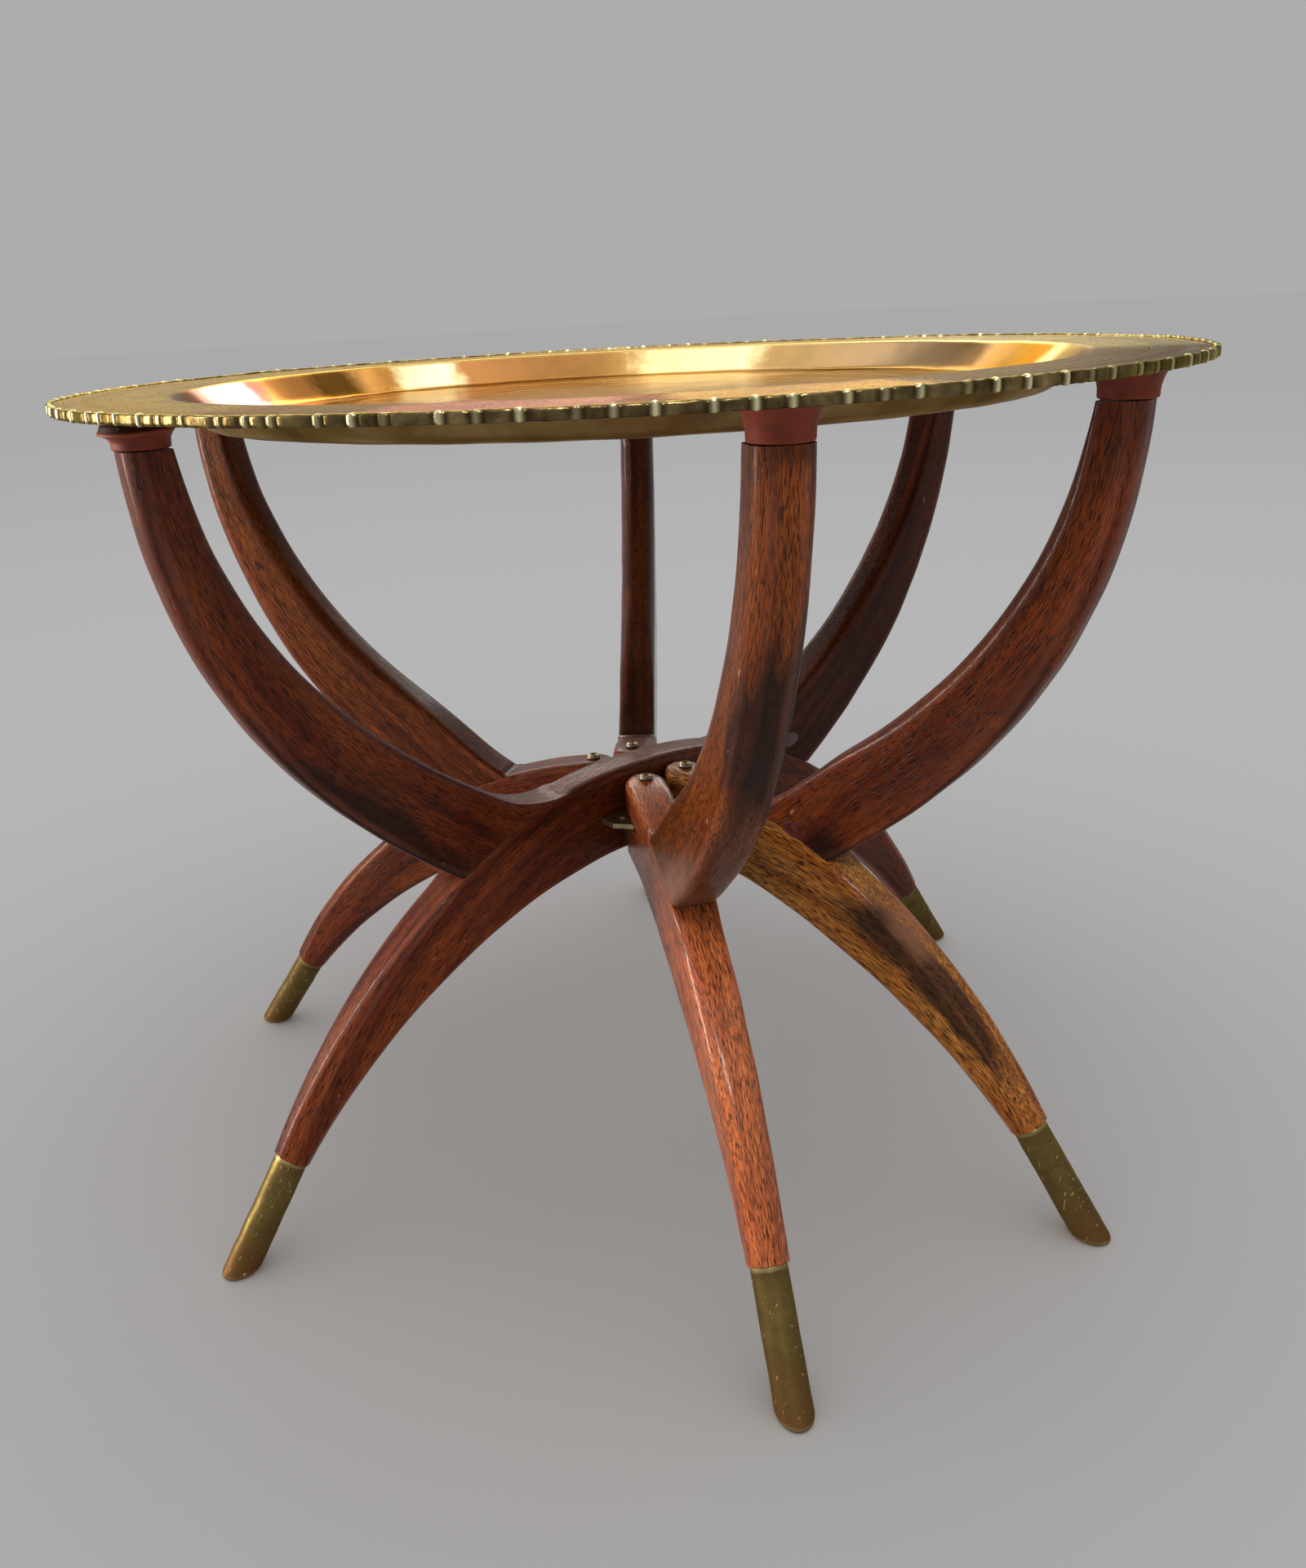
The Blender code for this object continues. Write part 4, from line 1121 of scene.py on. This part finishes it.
# Tones of polish and tarnish, with painted reflections. The wall, flange and floor go by the turn in degrees
# from the right foot: their bright and dark bands are painted reflections of the studio as seen from the
# front, over tarnish and tint; the underside and band go by the clouds in their noise.
trayTonesAndReflections = {
    "wall": [
        (0, "#a88a68"), (26, "#a4824f"), (30, "#f3dca4"), (47, "#f1d594"), (51, "#a67c44"),
        (60, "#906537"), (72, "#99693b"), (81, "#a87242"), (84, "#fff0b8"), (93, "#fdeab0"),
        (95.5, "#b9803e"), (100, "#cf944f"), (104, "#7a5428"), (110, "#83592b"), (112, "#d89250"),
        (122, "#dc9a60"), (125, "#b4706a"), (128, "#e2bcd0"), (137, "#e4c2cc"), (146, "#8d5263"),
        (158, "#5c2c38"), (200, "#6a4a2a"), (300, "#6e5230"), (308, "#b98a4e"), (313, "#f6d596"),
        (322, "#f2cf92"), (326, "#6a4032"), (334, "#644c3a"), (343, "#84694f"), (352, "#a88a68"),
    ],
    "flange": [
        (0, "#c4bb90"), (20, "#b09a62"), (50, "#a38d56"), (120, "#8f7c4a"), (170, "#86733f"),
        (194, "#7c6838"), (197, "#4a2a26"), (211, "#472523"), (213, "#a0626c"), (222, "#b9777f"),
        (231, "#c98d8d"), (232.5, "#8c3d32"), (235, "#8c3d32"), (236, "#dcb074"), (254, "#d9ad6a"),
        (257, "#5b4250"), (261, "#3c241a"), (292, "#35200f"), (302, "#4a3318"), (309, "#bfb48c"),
        (340, "#c4bb90"),
    ],
    "floor": [
        (0, "#8f7656"), (12, "#a88a5c"), (20, "#ecd2a0"), (44, "#ecd2a0"), (60, "#b58a54"),
        (80, "#b8895a"), (120, "#bd9068"), (200, "#b28a50"), (300, "#9c7a4a"), (345, "#8f7656"),
    ],
    "middle": "#bd9258",
    "underside": [(0.28, "#5a4226"), (0.48, "#86683e"), (0.62, "#a08252"), (0.78, "#b8a078")],
    "band": [(0.28, "#40341e"), (0.48, "#66563a"), (0.66, "#8c7a52"), (0.8, "#b09c70")],
}


# chased lines on the floor and flange: scallops round the tray, their depth, the radius and the line's width
chasing = (
    (24, 0.006, 0.2525, 0.0005), (36, 0.007, 0.204, 0.0006), (18, 0.010, 0.176, 0.0007),
    (12, 0.012, 0.120, 0.0007), (0, 0, 0.190, 0.0005), (0, 0, 0.150, 0.0006),
    (0, 0, 0.216, 0.0005), (0, 0, 0.2700, 0.0005), (0, 0, 0.2925, 0.0006),
)
sprays = {"radius": 0.2815, "halfLength": 0.005, "count": 160, "strokes": 5.5}
punching = {"radius": 0.2605, "scale": 420.0}


def trayMaterial():
    # Spun and hand-chased sheet brass, once polished: bright mirror patches and dark bands painted in round
    # the tray as reflections, between soft tarnish, rose and violet where heat and fingers have tinted it,
    # chased lines about 0.6 mm wide (wider than real ones, to show).
    made, add, principled = newMaterial("chasedSheetBrass", Specular_Tint="#d9c6a4")
    uv = add("UVMap", uv_map="wrap")
    turn = add("SeparateXYZ", {0: uv}, output="X")
    radius = add("SeparateXYZ", {0: uv}, output="Y")
    place = add("TexCoord", output="Object")
    ragged = add("TexNoise", {"Vector": place, "Scale": 70.0, "Detail": 4.0, "Roughness": 0.65})
    fine = add("TexNoise", {"Vector": place, "Scale": 600.0, "Detail": 3.0, "Roughness": 0.6})
    clouds = add("TexNoise", {"Vector": place, "Scale": 24.0, "Detail": 4.0, "Roughness": 0.55})
    shifted = add("Math", {0: ragged, 1: -0.5}, operation="ADD")
    shifted = add("Math", {0: shifted, 1: 0.02, 2: turn}, operation="MULTIPLY_ADD")
    shifted = add("Math", {0: shifted}, operation="FRACT")
    wall, flange, under = [
        add("Attribute", output="Fac", attribute_name=key) for key in ("wall", "flange", "underside")
    ]
    # floor, wall and flange tones by the turn: painted reflections over tarnish, the floor's fading out
    # towards the middle
    outward = add("ValToRGB", {0: radius}, stops=[(0.03, 0.0), (0.17, 1.0)])
    colour = trayTonesAndReflections["middle"]
    for amount, zone in ((outward, "floor"), (wall, "wall"), (flange, "flange")):
        tones = add("ValToRGB", {0: shifted}, stops=turnStops(trayTonesAndReflections[zone]))
        colour = add("Mix", {0: amount, 6: colour, 7: tones}, output=2, data_type="RGBA")

    # stamped sprays on the flange: slanted strokes inside an oval, spray from -0.5 to 0.5 across each
    spray = add("Math", {0: turn, 1: float(sprays["count"])}, operation="MULTIPLY")
    spray = add("Math", {0: spray}, operation="FRACT")
    spray = add("Math", {0: spray, 1: -0.5}, operation="ADD")
    rise = add("Math", {0: radius, 1: -sprays["radius"]}, operation="ADD")
    rise = add("Math", {0: rise, 1: 1 / sprays["halfLength"]}, operation="MULTIPLY")
    rise = add("Math", {0: rise}, operation="ABSOLUTE")
    across = add("Math", {0: spray}, operation="ABSOLUTE")
    across = add("Math", {0: across, 1: 2.6}, operation="MULTIPLY")
    across = add("Math", {0: across, 1: 2.0}, operation="POWER")
    oval = add("Math", {0: across, 1: add("Math", {0: rise, 1: 2.0}, operation="POWER")}, operation="ADD")
    oval = add("ValToRGB", {0: oval}, stops=[(0.75, 1.0), (1.0, 0.0)])
    oval = add("Math", {0: oval, 1: flange}, operation="MULTIPLY")
    stroke = add("Math", {0: rise, 1: 0.1, 2: spray}, operation="MULTIPLY_ADD")
    stroke = add("Math", {0: stroke, 1: sprays["strokes"]}, operation="MULTIPLY")
    stroke = add("Math", {0: stroke}, operation="FRACT")
    stroke = add("Math", {0: stroke, 1: -0.5}, operation="ADD")
    stroke = add("Math", {0: stroke}, operation="ABSOLUTE")
    stroke = add("ValToRGB", {0: stroke}, stops=[(0.16, 1.0), (0.26, 0.0)])
    stroke = add("Math", {0: stroke, 1: oval}, operation="MULTIPLY")

    # distance to the nearest chased line, over its width: |radius - middle - depth * |sin(waves pi turn)||
    lines = None
    for waves, depth, middle, width in chasing:
        curve = add("Math", {0: turn, 1: waves * math.pi}, operation="MULTIPLY")
        curve = add("Math", {0: curve}, operation="SINE")
        curve = add("Math", {0: curve}, operation="ABSOLUTE")
        offset = add("Math", {0: radius, 1: -middle}, operation="ADD")
        offset = add("Math", {0: curve, 1: -depth, 2: offset}, operation="MULTIPLY_ADD")
        offset = add("Math", {0: offset}, operation="ABSOLUTE")
        line = add("Math", {0: offset, 1: width}, operation="DIVIDE", use_clamp=True)
        lines = line if lines is None else add("Math", {0: lines, 1: line}, operation="MINIMUM")
    lines = add("Math", {0: 1.0, 1: lines}, operation="SUBTRACT")
    offWall = add("Math", {0: 1.0, 1: wall}, operation="SUBTRACT")
    lines = add("Math", {0: lines, 1: offWall}, operation="MULTIPLY")

    # matting punched in a ring on the flange: small round marks
    punched = add("TexVoronoi", {"Vector": place, "Scale": punching["scale"]}, output="Distance")
    punched = add("ValToRGB", {0: punched}, stops=[(0.16, 1.0), (0.34, 0.0)])
    onRing = add("Math", {0: radius, 1: -punching["radius"]}, operation="ADD")
    onRing = add("Math", {0: onRing}, operation="ABSOLUTE")
    onRing = add("Math", {0: onRing, 1: 100.0}, operation="MULTIPLY")
    onRing = add("ValToRGB", {0: onRing}, stops=[(0.75, 1.0), (0.95, 0.0)])
    onRing = add("Math", {0: onRing, 1: flange}, operation="MULTIPLY")
    punched = add("Math", {0: punched, 1: onRing}, operation="MULTIPLY")
    punched = add("Math", {0: punched, 1: 0.7}, operation="MULTIPLY")
    marks = add("Math", {0: lines, 1: stroke}, operation="MAXIMUM")
    marks = add("Math", {0: marks, 1: punched}, operation="MAXIMUM")
    above = add("Math", {0: 1.0, 1: under}, operation="SUBTRACT")
    marks = add("Math", {0: marks, 1: above}, operation="MULTIPLY")

    dirt = add("Math", {0: marks, 1: 0.55}, operation="MULTIPLY")
    colour = add("Mix", {0: dirt, 6: colour, 7: "#2c1c10"}, output=2, data_type="RGBA")
    shade = add("ValToRGB", {0: clouds}, stops=[(0.3, 0.78), (0.55, 1.0), (0.75, 1.08)])
    colour = add("Mix", {0: 1.0, 6: colour, 7: shade}, output=2, data_type="RGBA", blend_type="MULTIPLY")
    tones = add("ValToRGB", {0: clouds}, stops=trayTonesAndReflections["underside"])
    colour = add("Mix", {0: under, 6: colour, 7: tones}, output=2, data_type="RGBA")
    metal = add("Math", {0: under, 1: -0.15, 2: 1.0}, operation="MULTIPLY_ADD")
    rough = add("ValToRGB", {0: clouds}, stops=[(0.3, 0.24), (0.7, 0.13)])
    for amount, extra in ((flange, 0.06), (under, 0.18), (marks, 0.25)):
        rough = add("Math", {0: amount, 1: extra, 2: rough}, operation="MULTIPLY_ADD")
    height = add("Math", {0: fine, 1: 0.1}, operation="MULTIPLY")
    for amount, rising in ((marks, -1.0), (ragged, 0.35)):
        height = add("Math", {0: amount, 1: rising, 2: height}, operation="MULTIPLY_ADD")
    relief = add("Bump", {"Strength": 0.5, "Distance": 0.0003, "Height": height})
    plug(principled, Base_Color=colour, Metallic=metal, Roughness=rough, Normal=relief)
    return made


def bandMaterial():
    # Cast-looking brass bar with olive tarnish in its hollows and bright beads rubbed by hands.
    made, add, principled = newMaterial("chasedEdgeBrass", Specular_Tint="#e0d4ac", Metallic=1.0)
    place = add("TexCoord", output="Object")
    clouds = add("TexNoise", {"Vector": place, "Scale": 90.0, "Detail": 4.0, "Roughness": 0.6})
    fine = add("TexNoise", {"Vector": place, "Scale": 700.0, "Detail": 3.0, "Roughness": 0.6})
    hollow = add("Attribute", output="Fac", attribute_name="joint")
    hollow = add("Math", {0: hollow, 1: 0.8}, operation="MULTIPLY")
    bead = add("Attribute", output="Fac", attribute_name="bead")
    colour = add("ValToRGB", {0: clouds}, stops=trayTonesAndReflections["band"])
    for amount, tone in ((hollow, "#2c200f"), (bead, "#ece4b2")):
        colour = add("Mix", {0: amount, 6: colour, 7: tone}, output=2, data_type="RGBA")
    rough = add("ValToRGB", {0: clouds}, stops=[(0.3, 0.36), (0.7, 0.22)])
    height = add("Math", {0: fine, 1: 0.6, 2: clouds}, operation="MULTIPLY_ADD")
    relief = add("Bump", {"Strength": 0.6, "Distance": 0.0003, "Height": height})
    plug(principled, Base_Color=colour, Roughness=rough, Normal=relief)
    return made


makeTraySheet(trayMaterial())
makeTrayBand(bandMaterial())
print("tray made")

# Studio: an even pale grey floor and surround. All lights but one fall on the table only.
studio = {
    "grey": "#adadad",
    "floorGrey": "#fbfbfb",
    "floorSize": 60.0,
    "lights": [
        # name, lights the floor too, place, aimed at, width, height, watts, colour
        ("room", True, (0.0, 0.0, 3.0), (0.0, 0.0, 0.0), 5.0, 5.0, 13.0, "#ffffff"),
        ("top", False, (0.1, 0.3, 2.2), (0.1, 0.3, 0.4), 2.4, 2.4, 22.0, "#ffffff"),
        ("back", False, (1.3, 2.2, 1.75), (0.0, 0.0, 0.45), 3.2, 0.9, 50.0, "#fffaf2"),
        ("key", False, (-1.6, 1.15, 0.75), (0.0, 0.0, 0.3), 0.3, 1.4, 46.0, "#fff6ec"),
        ("front", False, (-0.8, -1.2, 1.9), (0.0, 0.0, 0.2), 0.5, 0.4, 26.0, "#fff6ee"),
    ],
}
camera = {
    "place": (-0.4556, -0.5828, 0.4904),
    "yaw": 35.80,  # degrees clockwise from +Y, seen from above
    "down": 19.86,
    "roll": -3.04,
    "lens": 29.15,
    "shiftX": 0.0385,
    "shiftY": -0.0119,
}


def makeFloor():
    half = studio["floorSize"] / 2
    mesh = bpy.data.meshes.new("floor")
    corners = [(-half, -half, 0), (half, -half, 0), (half, half, 0), (-half, half, 0)]
    mesh.from_pydata(corners, [], [(0, 1, 2, 3)])
    painted = {"Base_Color": studio["floorGrey"], "Roughness": 0.9, "Specular_IOR_Level": 0.1}
    mesh.materials.append(newMaterial("paintedFloor", **painted)[0])
    floor = bpy.data.objects.new("floor", mesh)
    scene.collection.objects.link(floor)


def makeLights():
    world = bpy.data.worlds.new("studio")
    world.use_nodes = True
    background = world.node_tree.nodes["Background"]
    background.inputs["Color"].default_value = linearColour(studio["grey"])
    scene.world = world
    lit = bpy.data.collections.new("table")
    for piece in [piece for piece in bpy.data.objects if piece.type == "MESH" and piece.name != "floor"]:
        lit.objects.link(piece)
    for name, onFloor, place, target, width, height, watts, colour in studio["lights"]:
        lamp = bpy.data.lights.new(name, "AREA")
        lamp.shape, lamp.size, lamp.size_y, lamp.energy = "RECTANGLE", width, height, watts
        lamp.color = linearColour(colour)[:3]
        holder = bpy.data.objects.new(name, lamp)
        holder.location = place
        holder.rotation_euler = (Vector(target) - Vector(place)).to_track_quat("-Z", "Y").to_euler()
        holder.light_linking.receiver_collection = None if onFloor else lit
        scene.collection.objects.link(holder)


def makeCamera():
    yaw, down, roll = (math.radians(camera[key]) for key in ("yaw", "down", "roll"))
    forward = np.array([math.sin(yaw) * math.cos(down), math.cos(yaw) * math.cos(down), -math.sin(down)])
    level = np.array([math.cos(yaw), -math.sin(yaw), 0.0])
    up = np.cross(level, forward)
    right = level * math.cos(roll) + up * math.sin(roll)
    top = up * math.cos(roll) - level * math.sin(roll)
    lens = bpy.data.cameras.new("camera")
    lens.lens, lens.shift_x, lens.shift_y = camera["lens"], camera["shiftX"], camera["shiftY"]
    lens.sensor_width, lens.clip_start = 36.0, 0.01
    holder = bpy.data.objects.new("camera", lens)
    turned = Matrix(np.stack([right, top, -forward], -1).tolist()).to_4x4()
    holder.matrix_world = Matrix.Translation(camera["place"]) @ turned
    scene.collection.objects.link(holder)
    scene.camera = holder


makeFloor()
makeLights()
makeCamera()
scene.view_settings.view_transform = "Standard"
print("studio and camera ready")
